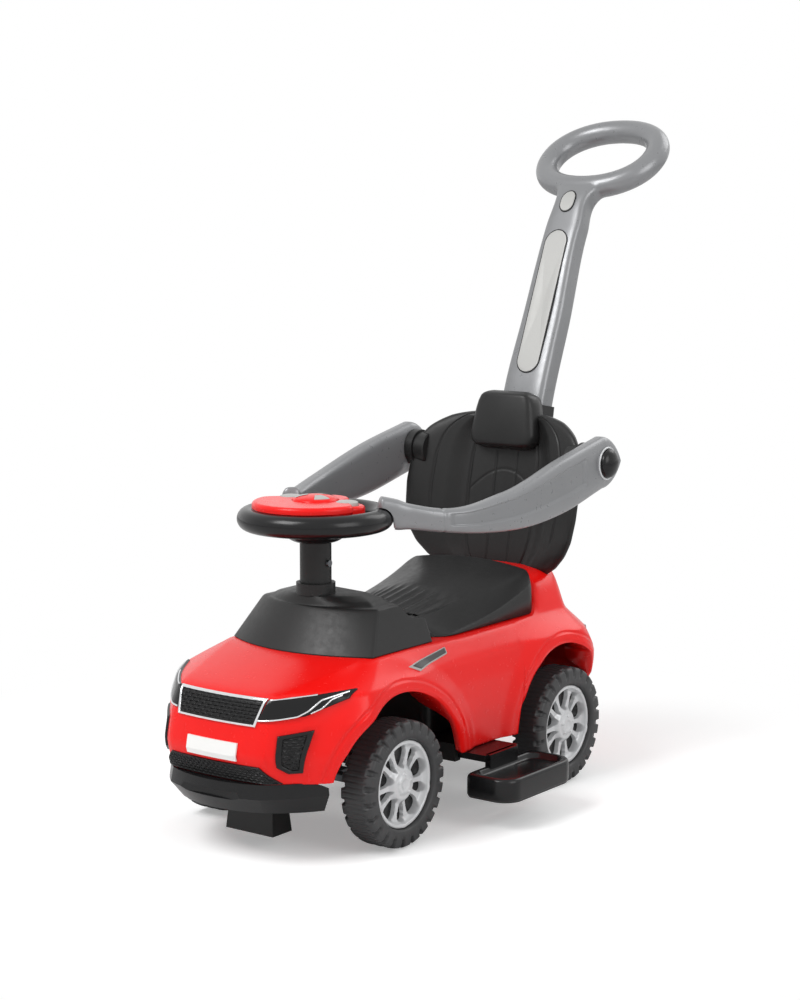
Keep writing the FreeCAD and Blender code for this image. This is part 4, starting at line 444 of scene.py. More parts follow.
for end, side in WHEELS:
    middle, extent = node_middle(f"rim_{end}_{side}")
    rim = rim_surface(RIM_RADIUS, extent[1] / 2, SPOKE_PAIRS) * MIRROR[side] + middle
    make_piece(f"spoked_rim_{end}_{side}", [(rim, False, True)], "rim_silver", f"{end}_{side}_wheel",
               [f"rim_{end}_{side}"], crease=50)
    # A black disc behind the spokes: painted shade for the shadowed inside of the hollow wheel
    behind = extent[1] / 2 - SHADE_DISC_DEPTH
    profile = [(SHADE_DISC_INNER, behind), (SHADE_DISC_OUTER, behind), (SHADE_DISC_OUTER, behind - 1),
               (SHADE_DISC_INNER, behind - 1), (SHADE_DISC_INNER, behind)]
    shade_disc = spin(profile, (0, 0, 0), "Y") * MIRROR[side] + middle
    make_piece(f"rim_painted_shade_{end}_{side}", [(shade_disc, False, True)], "black_trim",
               f"{end}_{side}_wheel", crease=40)

# %% [markdown]
# ## Body shell
# The shell is one blow of red plastic: bonnet, wings, sides, deck and the hump behind the seat.
# Its plan outline changes from level to level, so the surface is drawn as outlines joined upward.
# The lower edge follows the sill and rises over each wheel, and near an arch the skin swells out
# to a wing. Under a wing the edge turns in as the roof of the wheel's arch. Edges are rounded by
# averaging each point with its neighbours, as a mould rounds them.

# %% Plan outlines
SILL, DECK, HALF, NOSE, TAIL, BASE = 79.0, 216.0, 141.0, 512.0, 112.0, 344.0
LEVELS = np.array([
    # rise, nose, nose half, corner, side, waist, tail, tail half, nose drop
    (0.00, 0.975, 0.49, 1.18, 0.945, 0.870, 0.86, 0.50, 0.08),
    (0.33, 1.000, 0.50, 1.18, 0.985, 0.910, 1.00, 0.53, 0.08),
    (0.59, 0.985, 0.49, 1.18, 1.000, 0.920, 0.98, 0.53, 0.08),
    (0.81, 0.962, 0.46, 1.17, 0.955, 0.890, 0.89, 0.50, 0.08),
    (1.00, 0.760, 0.70, 1.00, 0.770, 0.765, 0.62, 0.45, 0.29),
])


def arc_through(start, middle, end, count):
    """Circle through three points of a plan: its centre is as far from each of them, and the angle
    runs evenly from the first to the last past the middle one."""
    a, b, c = (np.array(point, float) for point in (start, middle, end))
    centre = np.linalg.solve(2 * np.array([b - a, c - a]), np.array([b @ b - a @ a, c @ c - a @ a]))
    turns = np.unwrap([np.arctan2(*(point - centre)[::-1]) for point in (a, b, c)])
    angle = np.linspace(turns[0], turns[2], count)
    return centre + np.linalg.norm(a - centre) * np.stack([np.cos(angle), np.sin(angle)], axis=-1)


def half_outline(level):
    """Left half of one level's outline, nose to tail: five arcs end to end."""
    _, nose, nose_half, corner, side, waist, tail, tail_half, drop = level
    nose_x, nose_y, side_x, side_y = NOSE * nose, HALF * nose_half, BASE * corner, HALF * side
    nose_back, rear_x, tail_y = nose_x - nose_y * drop, -TAIL * 0.36, HALF * tail_half
    tail_x = -TAIL * tail
    tail_back = tail_x + tail_y * 0.08
    front = ((nose_back + side_x) / 2 + 0.05 * (side_y - nose_y),
             (nose_y + side_y) / 2 + 0.05 * (nose_back - side_x))
    between_wheels = (rear_x + (side_x - rear_x) * 0.45, HALF * waist)
    rear = ((tail_back + rear_x) / 2 - 0.2 * (side_y - tail_y),
            (tail_y + side_y) / 2 + 0.2 * (rear_x - tail_back))
    return np.concatenate([
        arc_through((nose_back, -nose_y), (nose_x, 0), (nose_back, nose_y), 57)[28:-1],
        arc_through((nose_back, nose_y), front, (side_x, side_y), 64)[:-1],
        arc_through((side_x, side_y), between_wheels, (rear_x, side_y), 150)[:-1],
        arc_through((rear_x, side_y), rear, (tail_back, tail_y), 60)[:-1],
        arc_through((tail_back, tail_y), (tail_x, 0), (tail_back, -tail_y), 41)[:21],
    ])


def full_loop(half):
    """The left half followed by its mirror image, without the two points on the middle line twice."""
    return np.concatenate([half, half[-2:0:-1] * np.array([1, -1] + [1] * (half.shape[-1] - 2))])


def soften(points, width, axis, wrap):
    """Average along an axis, pass by pass: half of each point and a quarter of each neighbour. Unless
    the grid wraps, its ends stay."""
    for _ in range(width):
        before, after = np.roll(points, 1, axis), np.roll(points, -1, axis)
        mixed = 0.5 * points + 0.25 * (before + after)
        if not wrap:
            ends = [slice(None)] * points.ndim
            for end in (0, -1):
                ends[axis] = end
                mixed[tuple(ends)] = points[tuple(ends)]
        points = mixed
    return points


outlines = soften(np.stack([full_loop(half_outline(level)) for level in LEVELS]), 14, 1, True)
heights = SILL + LEVELS[:, 0] * (DECK - SILL)
print("outline points:", outlines.shape)

# %% Body shell
ARCHES = (
    # wheel's x, then reach ahead and behind
    (344.0, 97.0, 134.0),
    (0.0, 88.0, 90.0),
)
ARCH_TOP = 178.0
BUMPER_TOP, BUMPER_REAR = 94, 438
HUMP_RISE, WING_SWELL = 46.5, 5.6
COLUMN_X = 325.0


def arch_arc(x, middle, ahead, behind):
    """Reach and radius of an arch's arc on the side of the wheel where x lies. The circle through the
    top and the foot has a radius of (reach squared + rise squared) over twice the rise."""
    rise = ARCH_TOP - SILL
    reach = np.where(x > middle, ahead, behind)
    return reach, (reach**2 + rise**2) / (2 * rise)


def arch_distance(x, z):
    """How far a point of the side is outside the nearest arch: its distance to the arc's centre less
    the arc's radius."""
    nearest = np.full(np.broadcast(x, z).shape, np.inf)
    for middle, ahead, behind in ARCHES:
        _, radius = arch_arc(x, middle, ahead, behind)
        nearest = np.minimum(nearest, np.hypot(x - middle, z - (ARCH_TOP - radius)) - radius)
    return nearest


def lower_edge(x):
    """Height of the skin's lower edge: the sill, the arc of an arch above it, or the bumper's top in
    front."""
    edge = np.full(x.shape, SILL)
    for middle, ahead, behind in ARCHES:
        reach, radius = arch_arc(x, middle, ahead, behind)
        arc = ARCH_TOP - radius + np.sqrt(np.maximum(radius**2 - (x - middle) ** 2, 0))
        edge = np.maximum(edge, np.where(np.abs(x - middle) < reach, arc, 0))
    return np.maximum(edge, BUMPER_TOP * (x > BUMPER_REAR))


def at_level(level):
    """Points of the outlines at fractional levels, one level for each place along the outline."""
    below = np.clip(np.floor(level).astype(int), 0, len(heights) - 2)
    share = level - below
    column = np.broadcast_to(np.arange(outlines.shape[1]), level.shape)
    plan = outlines[below, column] * (1 - share[..., None]) + outlines[below + 1, column] * share[..., None]
    height = heights[below] * (1 - share) + heights[below + 1] * share
    return np.concatenate([plan, height[..., None]], axis=-1)


def outward(points):
    """Unit plan normals of closed outlines: the step along the outline turned a quarter."""
    step = np.roll(points, -1, axis=1) - np.roll(points, 1, axis=1)
    normal = np.stack([step[..., 1], -step[..., 0], 0 * step[..., 0]], axis=-1)
    normal /= np.linalg.norm(normal, axis=-1, keepdims=True) + 1e-9
    return normal * np.sign(np.median(normal[:, 120:200, 1]))


def body_surface():
    """Rows go up from the lower edge to the deck and in to its middle line; columns go round the car."""
    start = np.zeros(outlines.shape[1])
    for _ in range(8):
        edge = lower_edge(at_level(start)[:, 0]) * (np.abs(at_level(start)[:, 1]) > 70)
        start = np.interp(np.maximum(edge, SILL), heights, np.arange(len(heights)))
    rows = np.linspace(0, 1, 64)[:, None]
    side = at_level(start + (len(heights) - 1 - start) * rows)
    top = side[-1]
    middle = np.stack([np.clip(top[:, 0], -46, 366), 0 * top[:, 1], top[:, 2]], axis=-1)
    inward = np.concatenate([np.linspace(0.06, 0.3, 8), np.linspace(0.36, 1, 8)])[:, None, None]
    deck = top + (middle - top) * inward
    x, across = deck[..., 0], np.abs(deck[..., 1])
    beside = across > 80 + 24 * np.sqrt(np.clip((x - 8) / 26, 0, 1))
    shoulder = np.sin(np.clip((109 - across) / 34, 0, 1) * np.pi / 2)
    hump = shoulder * ease(x, -74, -60) * np.where(beside, ease(70 - x, 0, 80), ease(6 - x, 0, 8))
    deck[..., 2] += HUMP_RISE * hump
    skin = soften(np.concatenate([side, deck]), 8, 0, False)
    away = arch_distance(skin[..., 0], skin[..., 2])
    swell = ease(38 - away, 0, 26) * ease(np.abs(skin[..., 1]), 84, 112) * (skin[..., 2] < 214)
    crease = 1.5 * ease(3.0 - np.abs(away - 13), 0, 3.0)
    swell = swell * (WING_SWELL - crease) * (1 - 0.25 * ease(4 - away, 0, 4))
    skin = skin + outward(skin) * swell[..., None]
    edge_normal = outward(skin[:1])
    depth = 7 + 28 * ease(skin[:1, :, 2:], 120, 150)
    lip = np.concatenate([skin[:1] - depth * edge_normal,
                          skin[:1] - 2.0 * edge_normal - np.array([0, 0, 0.3])])
    return np.concatenate([lip, skin])


def clear_of_openings(middle):
    """Leaves out faces of the deck over the bin and round the steering column."""
    x, y, z = middle.T
    bin_mouth = (x > 30) & (x < 204) & (np.abs(y) < 78) & (z > 205)
    column = (np.hypot(x - COLUMN_X, y) < 22) & (z > 205)
    return ~(bin_mouth | column)


skin = body_surface()
make_piece("body_skin", [(skin, False, True, clear_of_openings)], "red_shell", "car", ["body_shell"],
           solid=3.2)

# The skin's own outlines at even heights, to lay trim on: each column of the grid read at each height
fair_heights = np.linspace(82, 214, 67)
fair = np.stack([np.stack([np.interp(fair_heights, column[:, 2], column[:, k]) for k in (0, 1)], axis=-1)
                 for column in np.swapaxes(skin[2:66], 0, 1)], axis=1)
print("trim outlines:", fair.shape)

# %% [markdown]
# ## Guard arms
# Each arm is blown hollow: deep and flat at its pivot, thin where it swings in to the steering
# wheel, with a saddle that rests over the rim. It is a rounded section carried along a curve. A
# long panel is sunk in the outer face, and a seam runs round the arm where the saddle piece joins.

# %% Guard arms
ARM_PLACES = (0.0, 0.27, 0.60, 0.85, 1.0)
ARM_ROWS = np.array([
    # x, y, z, half depth, half thickness, turn in degrees
    (-56.0, 150.0, 402.0, 33.0, 13.0, 0.0),
    (36.3, 150.0, 381.4, 33.7, 12.7, 2.3),
    (149.1, 141.8, 362.3, 22.8, 11.8, 12.6),
    (234.6, 113.0, 360.8, 13.9, 10.6, 32.4),
    (285.9, 67.8, 372.0, 16.5, 10.0, 45.0),
])
RIM_X, RIM_Z, RIM_REACH, RIM_TUBE = COLUMN_X, 364.5, 78.3, 13.0
ARM_X, ARM_Z, KNOB_Y = -56, 402, 163


def arm_surface():
    """Rows go from the round rear end to the saddle, columns round a super-ellipse. Points that would
    enter the wheel's rim are lifted to just above it: the rim's height plus the root of the tube's
    radius squared less the distance from the tube's middle squared."""
    swing = np.radians(np.linspace(90, 4, 26))
    rear = np.repeat(ARM_ROWS[:1], len(swing), axis=0)
    rear[:, 0] -= 33 * np.sin(swing)
    rear[:, 3] *= np.cos(swing)
    body = through_rows(ARM_ROWS, ARM_PLACES, np.linspace(0, 1, 230))
    close = np.radians(np.linspace(8, 90, 12))
    tip = np.repeat(ARM_ROWS[-1:], len(close), axis=0)
    tip[:, 0] += 4 * np.sin(close)
    tip[:, 1] -= 4 * np.sin(close)
    tip[:, 3:5] *= np.cos(close)[:, None]
    rows = np.concatenate([rear, body, tip])
    x, turn = rows[:, :1], np.radians(rows[:, 5:6])
    across, up = (part[None, :] for part in round_section(128, 3.2))
    flare = 1 + 0.13 * ease(x, 262, 274)
    panel = (ease(0.50 - np.abs(up - 0.14), 0, 0.05) * ease(x, -12, -2)
             * (1 - ease(x, 220, 228)) * (across > 0.3))
    seam = ease(1.9 - np.abs(x - 232), 0, 1.2)
    side = rows[:, 4:5] * across * flare - 3.0 * panel - 0.9 * seam * across
    rise = rows[:, 3:4] * up * flare - 0.9 * seam * up
    points = np.stack([x + side * np.sin(turn), rows[:, 1:2] + side * np.cos(turn),
                       rows[:, 2:3] + rise], axis=-1)
    away = np.hypot(points[..., 0] - RIM_X, points[..., 1]) - RIM_REACH
    room = RIM_TUBE + 1.2
    floor = RIM_Z + np.sqrt(np.maximum(room**2 - away**2, 0))
    points[..., 2] = np.where(away < room, np.maximum(points[..., 2], floor), points[..., 2])
    return points


quarter = np.radians(np.linspace(0, 90, 14))
dome = np.stack([18 * np.sin(quarter), 3 + 9 * np.cos(quarter)], axis=-1)
knob = spin(np.concatenate([dome, [(18, 0), (0, 0)]]), (ARM_X, KNOB_Y, ARM_Z), "Y")
bead = np.radians(np.linspace(0, 360, 13))
bead_section = np.stack([19.6 + 1.4 * np.cos(bead), 0.4 + 1.4 * np.sin(bead)], axis=-1)
ring = spin(bead_section, (ARM_X, KNOB_Y, ARM_Z), "Y")
arm = arm_surface()
for side, flip in MIRROR.items():
    make_piece(f"arm_skin_{side}", [(arm * flip, False, True)], "silver_plastic", f"{side}_arm",
               [f"guard_arm_{side}"])
    make_piece(f"knob_dome_{side}", [(knob * flip, False, True)], "black_trim", f"{side}_arm",
               [f"arm_knob_{side}"], crease=60)
    make_piece(f"knob_ring_{side}", [(ring * flip, False, True)], "rim_silver", f"{side}_arm")

# %% [markdown]
# ## Push handle
# Post and loop are one hollow moulding. Two surfaces are drawn, a rounded bar that leans and bends
# rearward and an oval ring, and they overlap at the neck. A voxel remesh makes them one skin, and
# smoothing fills the corner between them as the mould's fillet does.

# %% Push handle
POST_ROWS = np.array([
    # x, z, tilt in degrees, half width, half thickness
    (-88.7, 286.6, 10.0, 30.0, 16.0),
    (-104.1, 374.1, 10.0, 30.0, 16.0),
    (-119.6, 461.6, 10.0, 33.0, 17.5),
    (-166.0, 575.0, 21.0, 31.0, 17.5),
    (-214.0, 690.0, 28.0, 27.5, 16.5),
    (-239.0, 733.0, 46.0, 28.5, 15.0),
    (-258.0, 751.0, 53.0, 46.0, 11.0),
])
POST_PLACES = np.concatenate([[0], np.cumsum(np.hypot(*np.diff(POST_ROWS[:, :2], axis=0).T))])


def post_surface(rows):
    """Rows go up the post, columns round a super-ellipse set square to its lean. The ends close to
    points."""
    across, thick = (part[None, :] for part in round_section(96, 5.0))
    lean = np.radians(rows[:, 2:3])
    depth = rows[:, 4:5] * thick
    points = np.stack([rows[:, :1] + depth * np.cos(lean), rows[:, 3:4] * across + 0 * depth,
                       rows[:, 1:2] + depth * np.sin(lean)], axis=-1)
    middle = np.repeat(points.mean(axis=1, keepdims=True), points.shape[1], axis=1)
    return np.concatenate([middle[:1], points, middle[-1:]])


def loop_surface(middle, half_width, half_length, tube, slope):
    """An oval tube: rows go round a super-ellipse in a plane that rises rearward, columns round the
    tube."""
    angle = np.linspace(0, 2 * np.pi, 160, endpoint=False)
    out, side = np.cos(angle), np.sin(angle)
    reach = (np.abs(out / half_length) ** 2.15 + np.abs(side / half_width) ** 2.15) ** (-1 / 2.15)
    path = np.stack([reach * out, reach * side], axis=-1)
    step = np.roll(path, -1, axis=0) - np.roll(path, 1, axis=0)
    normal = np.stack([step[:, 1], -step[:, 0]], axis=-1) / np.linalg.norm(step, axis=1)[:, None]
    turn = np.linspace(0, 2 * np.pi, 48, endpoint=False)[None, :]
    flat = path[:, None, :] + tube * np.cos(turn)[..., None] * normal[:, None, :]
    lift = tube * np.sin(turn) + 0 * flat[..., 0]
    rise = np.radians(slope)
    return np.stack([middle[0] - flat[..., 0] * np.cos(rise) + lift * np.sin(rise), flat[..., 1],
                     middle[1] + flat[..., 0] * np.sin(rise) + lift * np.cos(rise)], axis=-1)


post = through_rows(POST_ROWS, POST_PLACES, np.linspace(0, POST_PLACES[-1], 160))
handle = make_piece("handle_skin", [(post_surface(post), False, True),
                                    (loop_surface((-301.8, 783.8), 81.0, 63.5, 16.0, 37.0), True, True)],
                    "silver_plastic", "handle", ["push_handle"])
weld = handle.modifiers.new("weld", "REMESH")
weld.mode = "VOXEL"
weld.voxel_size = 2.0 * MM
weld.use_smooth_shade = True
fillet = handle.modifiers.new("fillet", "SMOOTH")
fillet.factor = 0.5
fillet.iterations = 14

# %% [markdown]
# A capsule panel and an oval badge lie on the post's front. Both are bare here, each with a dark
# outline round it. They follow the bent face: a point's depth is read from the post's front line.

# %% Handle panel and badge
front_line = np.stack([post[:, 0] + post[:, 4] * np.cos(np.radians(post[:, 2])),
                       post[:, 1] + post[:, 4] * np.sin(np.radians(post[:, 2]))], axis=-1)


def capsule(half_width, low, high, count=120):
    """Outline of a capsule in front view: two half circles joined by straight sides."""
    angle = np.linspace(0, 2 * np.pi, count, endpoint=False)
    middle = np.where(np.sin(angle) > 0, high - half_width, low + half_width)
    return np.stack([half_width * np.cos(angle), middle + half_width * np.sin(angle)], axis=-1)


def on_post(outline, shares, lifts):
    """Rows shrink an outline to its middle by shares, each at a lift above the post's front face."""
    middle = outline.mean(axis=0)
    flat = middle + (outline - middle)[None] * np.asarray(shares, float)[:, None, None]
    depth = np.interp(flat[..., 1], front_line[:, 1], front_line[:, 0])
    slope = np.radians(np.interp(flat[..., 1], front_line[:, 1], post[:, 2]))
    lift = np.asarray(lifts, float)[:, None]
    return np.stack([depth + lift * np.cos(slope), flat[..., 0], flat[..., 1] + lift * np.sin(slope)],
                    axis=-1)


fill = np.concatenate([[1, 1, 0.985], np.linspace(0.96, 0, 14)])
rise = np.concatenate([[-1.0, 1.1], np.full(15, 1.3)])
for name, slot, shape, lift, stands_for in (
    ("panel_plate", "button_silver", capsule(16.2, 505.5, 688.5), 0.4, ["handle_panel"]),
    ("panel_border", "black_trim", capsule(17.4, 504, 690), 0.0, []),
    ("badge_plate", "button_silver", capsule(10.0, 714.5, 739.5), 0.4, ["handle_badge"]),
    ("badge_border", "black_trim", capsule(11.2, 713, 741), 0.0, []),
):
    make_piece(name, [(on_post(shape, fill, rise + lift), False, True)], slot, "handle", stands_for,
               crease=50)

# %% [markdown]
# ## Backrest and headrest
# The back is one curved shell with raised side wings; pressed lines divide it like upholstery, but
# it is hard plastic, as the single sheen over lines and fields shows. Front and rear are two faces
# of one closed section, carried up the back, so that a line at a share of the width bows with it.

# %% Backrest and headrest
BACK_LEAN, BACK_X, BACK_Z = 10, -50, 264.8


def shield(height, half, middle, thick, relief, columns):
    """Rows go up, columns across the front and back across the rear. A face stands off a middle
    surface by the thickness times the root of 1 less a high power of the share of the width."""
    share = np.concatenate([np.linspace(-1, 1, columns), np.linspace(1, -1, columns // 3)[1:-1]])[None, :]
    facing = np.concatenate([np.ones(columns), -np.ones(columns // 3 - 2)])[None, :]
    rounding = np.sqrt(np.maximum(1 - np.abs(share) ** 14, 0))
    end = np.minimum(height - height[0], height[-1] - height)
    closing = np.sqrt(np.maximum(1 - (1 - np.minimum(end / 8, 1)) ** 2, 0))[:, None]
    across = half[:, None] * share
    depth = middle(across) + facing * thick * rounding * closing
    depth = depth + np.where(facing > 0, relief(share, across, height[:, None]), 0) * closing * rounding
    return np.stack([depth, across, height[:, None] + 0 * across], axis=-1)


def leaned(points):
    """Turns points of the back's own upright frame to its lean, and stands them on the hump."""
    turn = np.radians(BACK_LEAN)
    return np.stack([BACK_X + points[..., 0] * np.cos(turn) - points[..., 2] * np.sin(turn),
                     points[..., 1],
                     BACK_Z + points[..., 0] * np.sin(turn) + points[..., 2] * np.cos(turn)], axis=-1)


def back_relief(share, across, height):
    """Wings swell, and lines are pressed in: each is a smooth pulse about a share of the width."""
    wings = 4.5 * ease(np.abs(share), 0.42, 0.62) * (1 - 0.5 * ease(np.abs(share), 0.7, 1.0))
    inner = 1.3 * ease(2.0 - np.abs(np.abs(across) - 16), 0, 1.5) * (1 - ease(height, 138, 146))
    bow = 1.5 * ease(2.2 - np.abs(np.abs(share) - 0.39) * 130, 0, 1.6)
    outer = 1.2 * ease(2.0 - np.abs(np.abs(share) - 0.74) * 130, 0, 1.5) * ease(height, 20, 34)
    cross = 1.1 * ease(1.8 - np.abs(height - 118 + 0.012 * across**2), 0, 1.4) * (np.abs(share) < 0.39)
    return wings - np.maximum(np.maximum(inner, bow), np.maximum(outer, cross))


back_height = np.concatenate([-4 - 8 * np.cos(quarter), np.linspace(-3, 183, 126),
                              184 + 8 * np.sin(quarter)])
back_half = np.interp(back_height, (-12, -4, 12, 31, 60, 92, 130, 155, 167, 178, 185, 189, 192),
                      (84, 99, 116, 127, 133, 134.5, 131, 122, 113, 98, 83, 69, 52))
back_half = soften(back_half[:, None], 8, 0, False)[:, 0]
back = shield(back_height, back_half, lambda y: 253 - np.sqrt(260**2 - y**2), 7.0, back_relief, 240)
make_piece("back_shell", [(leaned(back), False, True)], "black_plastic", "car", ["backrest"])

head_height = np.concatenate([152 - 8 * np.cos(quarter), np.linspace(153, 211, 40),
                              212 + 8 * np.sin(quarter)])
head_half = np.interp(head_height, (144, 148, 154, 162, 194, 206, 213, 217, 220),
                      (34, 44, 50, 51, 46, 43, 39, 34, 26))
head_half = soften(head_half[:, None], 6, 0, False)[:, 0]


def head_relief(share, across, height):
    """A crown: highest at the middle, falling with the square of the share and of the height."""
    return 5.0 * (1 - np.clip(share, -1, 1) ** 2) * (1 - ((height - 182) / 44) ** 2)


head = shield(head_height, head_half, lambda y: 5.0 + 0 * y, 18.0, head_relief, 90)
boss = spin([(0, 109.2), (19.5, 109.2), (21, 110.6), (21, 125), (0, 125)], (ARM_X, 0, ARM_Z), "Y")
bosses = [(boss * flip, False, True) for flip in MIRROR.values()]
make_piece("head_pad", [(leaned(head), False, True)], "black_plastic", "car", ["headrest_pad"])
make_piece("pivot_bosses", bosses, "black_plastic", "car", crease=40)

# %% [markdown]
# ## Seat lid
# The lid is a saddle: low and narrow in front, broad and high behind, with a flange that comes down
# to the deck. Its top is a height map. Ribs run along the front half, where the mould has soft
# channels; they fade out where the seat broadens.

# %% Seat lid
SEAT_REAR, SEAT_FRONT, SEAT_HALF = 8.0, 224.0, 104
SEAT_FOOT, HINGE_RISE = 216.4, 14.4


def seat_surface():
    """Rows go along the seat, columns across at shares of its half width. The height is an arch between
    the shoulders, then a slope to the foot; the ends drop to the foot, which is higher at the hinge in
    front, and averaging rounds every edge."""
    x = np.linspace(SEAT_REAR, SEAT_FRONT, 130)
    rounding = np.where(x < 116, 22, 34)
    corner = np.clip(np.minimum(x - SEAT_REAR, SEAT_FRONT - x) / rounding, 0, 1)
    half = SEAT_HALF - rounding + rounding * np.sqrt(1 - (1 - corner) ** 2)
    share = np.linspace(-1, 1, 181)[None, :]
    y = half[:, None] * share
    # Height of the top, height of the shoulder and half width between the shoulders
    rows = np.array([(277.0, 268.0, 92.0), (257.0, 244.0, 64.0), (239.0, 233.0, 50.0)])
    shape = through_rows(rows, (SEAT_REAR, 120.0, SEAT_FRONT), x)
    top, shoulder, flat = (column[:, None] for column in shape.T)
    out = np.clip((np.abs(y) - flat) / np.maximum(half[:, None] - flat, 4), 0, 1)
    z = np.where(np.abs(y) < flat, top - (top - shoulder) * (y / flat) ** 2, shoulder - 17 * out**1.2)
    rib = 0.5 - 0.5 * np.cos(2 * np.pi * y / 14)
    front = ease(x, 118, 150)[:, None] * ease(flat + 6 - np.abs(y), 0, 9)
    z = soften(z, 9, 1, False) - 2.4 * front * (1 - rib**2)
    foot = SEAT_FOOT + HINGE_RISE * ease(x[:, None, None] + 0 * y[..., None], 215.5, 222)
    skin = np.stack([x[:, None] + 0 * y, y, np.maximum(z, foot[..., 0])], axis=-1)
    down = np.concatenate([skin[..., :2], foot], axis=-1)
    skin, down = (np.concatenate([down[:1], part, down[-1:]]) for part in (skin, down))
    sides = [down[:, [column]] for column in (0, -1)]
    return soften(soften(np.concatenate([sides[0], skin, sides[1]], axis=1), 2, 0, False), 2, 1, False)


make_piece("seat_skin", [(seat_surface(), False, False)], "black_plastic", "seat", ["seat_lid"], solid=3.0)

# %% [markdown]
# ## Dashboard cowl
# The cowl stands in front of the seat: a raked screen, a crowned top that carries the steering
# column, and a step down behind it. Plan outlines joined upward give screen and crown; the step
# limits the height of every point by how far back it is.

# %% Dashboard cowl
COWL_REAR, COWL_TOP, COLUMN_HOLE = 236.0, 279.0, 14.0


def cowl_outline(half, corner, front):
    """Plan of one level: straight across the rear and along the sides, an arc round the front."""
    nose = arc_through((corner, half), (front, 0), (corner, -half), 90)
    side = np.linspace((COWL_REAR, half), (corner, half), 50)[:-1]
    rear = np.linspace((COWL_REAR, -half), (COWL_REAR, half), 42)[1:-1]
    return np.concatenate([side, nose, side[::-1] * np.array([1, -1]), rear])


def cowl_surface():
    """Rows go up the screen, over the crown and in to the middle. A step curve caps the height from
    behind."""
    # Half width, x of the corners, x of the front and height
    levels = [(105, 351, 384, 216.3), (87, 319, 352, 262), (84.5, 317, 350, 264.6), (76, 314, 348, 265.4),
              (68, 311, 346.5, 270.5), (48, 304, 345, 276.5)]
    plans = np.stack([cowl_outline(*level[:3]) for level in levels])
    level_heights = np.array([level[3] for level in levels])[:, None, None]
    rows = np.concatenate([plans, level_heights + 0 * plans[..., :1]], axis=-1)
    crown_x = np.clip(rows[-1:, :, 0], 250, COLUMN_X)
    middle = np.stack([crown_x, 0 * crown_x, COWL_TOP + 0 * crown_x], axis=-1)
    places = np.array([0, 0.46, 0.50, 0.58, 0.65, 0.82, 1.0])
    whole = np.concatenate([rows, middle])
    fine = np.linspace(0, 1, 80)
    spot = np.clip(np.searchsorted(places, fine, side="right") - 1, 0, len(places) - 2)
    mix = ((fine - places[spot]) / (places[spot + 1] - places[spot]))[:, None, None]
    skin = soften(whole[spot] * (1 - mix) + whole[spot + 1] * mix, 2, 0, False)
    skin[..., 2] = np.minimum(skin[..., 2], 243.5 + 3 * ease(skin[..., 0], 234, 256)
                              + 34 * ease(skin[..., 0], 258, 296))
    return soften(soften(skin, 1, 1, True), 1, 0, False)


def clear_of_column(middle):
    """Leaves out the faces inside the column's hole."""
    return np.hypot(middle[:, 0] - COLUMN_X, middle[:, 1]) > COLUMN_HOLE


make_piece("cowl_skin", [(cowl_surface(), False, True, clear_of_column)], "black_plastic", "car",
           ["dashboard"], solid=3.0)

# %% [markdown]
# ## Steering wheel and its fascia
# The wheel is a thick round rim on three spokes over a bowl. On it sits a red fascia with a drum in
# front and a lobe at each side, each with a button that presses in. Turned profiles make rim, bowl
# and buttons; the fascia is drawn in polar form round the horn's well.

# %% Steering wheel
def spoke_surface(angle, inner, outer, half_width, half_depth, height):
    """A rounded bar from the bowl to the rim, along an angle in degrees."""
    turn = np.radians(angle)
    reach = np.linspace(inner, outer, 12)[:, None]
    across, up = (part[None, :] for part in round_section(48, 4.0))
    side = half_width * across + 0 * reach
    return np.stack([RIM_X + reach * np.cos(turn) - side * np.sin(turn),
                     reach * np.sin(turn) + side * np.cos(turn),
                     height + half_depth * up + 0 * side], axis=-1)


circle = np.linspace(0, 2 * np.pi, 41)
rim_tube = spin(np.stack([RIM_REACH + RIM_TUBE * np.cos(circle), RIM_TUBE * np.sin(circle)], axis=-1),
                (RIM_X, 0, RIM_Z), "Z", 120)
bowl_curve = np.stack([18.5 + 18.5 * np.sin(quarter), 351.5 - 15 * np.cos(quarter)], axis=-1)
bowl_profile = np.concatenate([[(6, 336.5)], bowl_curve, [(37, 364), (36, 364.5), (6, 364.5)]])
bowl = spin(bowl_profile, (RIM_X, 0, 0), "Z")
spokes = [(spoke_surface(angle, 30, RIM_REACH, 15, 6, RIM_Z - 6), False, True)
          for angle in (90, 180, 270)]
make_piece("wheel_skin", [(rim_tube, False, True), (bowl, False, True), *spokes], "black_trim",
           "steering_column", ["steering_wheel"], crease=60)

# %% Fascia and buttons
FASCIA_BASE, OVER_RIM_BASE = 366.0, 378.0
HORN_RADIUS, HORN_RISE = 27.0, 6.6
BUTTON_LEVEL, BUTTON_DEPTH = 385.4, 7.8
LOBES = {"left": (RIM_X - 6, 42), "right": (RIM_X - 6, -42)}


def drum_surface(outline, well, top, edge):
    """Rows go up the wall, over a round edge and in to the well, then down it; columns go round. Where
    the drum reaches out over the rim its wall starts higher."""
    reach, angle = np.hypot(*outline.T)[None, :], np.arctan2(outline[:, 1], outline[:, 0])[None, :]
    turn = np.radians(np.linspace(0, 90, 10))[:, None]
    wall = np.concatenate([np.where(reach > 60, OVER_RIM_BASE, FASCIA_BASE), top - edge + 0 * reach])
    rounded = reach - edge * (1 - np.cos(turn))
    inner = np.linspace(1, 0, 10)[1:, None]
    flat = (well + 1.5) + (rounded[-1:] - well - 1.5) * inner
    lip = np.array([well + 0.3, well, well])[:, None] + 0 * reach
    radius = np.concatenate([np.repeat(reach, 2, axis=0), rounded, flat, lip])
    height = np.concatenate([wall, top - edge + edge * np.sin(turn) + 0 * reach, top + 0 * flat,
                             np.array([top - 0.3, top - 1.5, top - 11])[:, None] + 0 * reach])
    return np.stack([radius * np.cos(angle), radius * np.sin(angle), height], axis=-1)


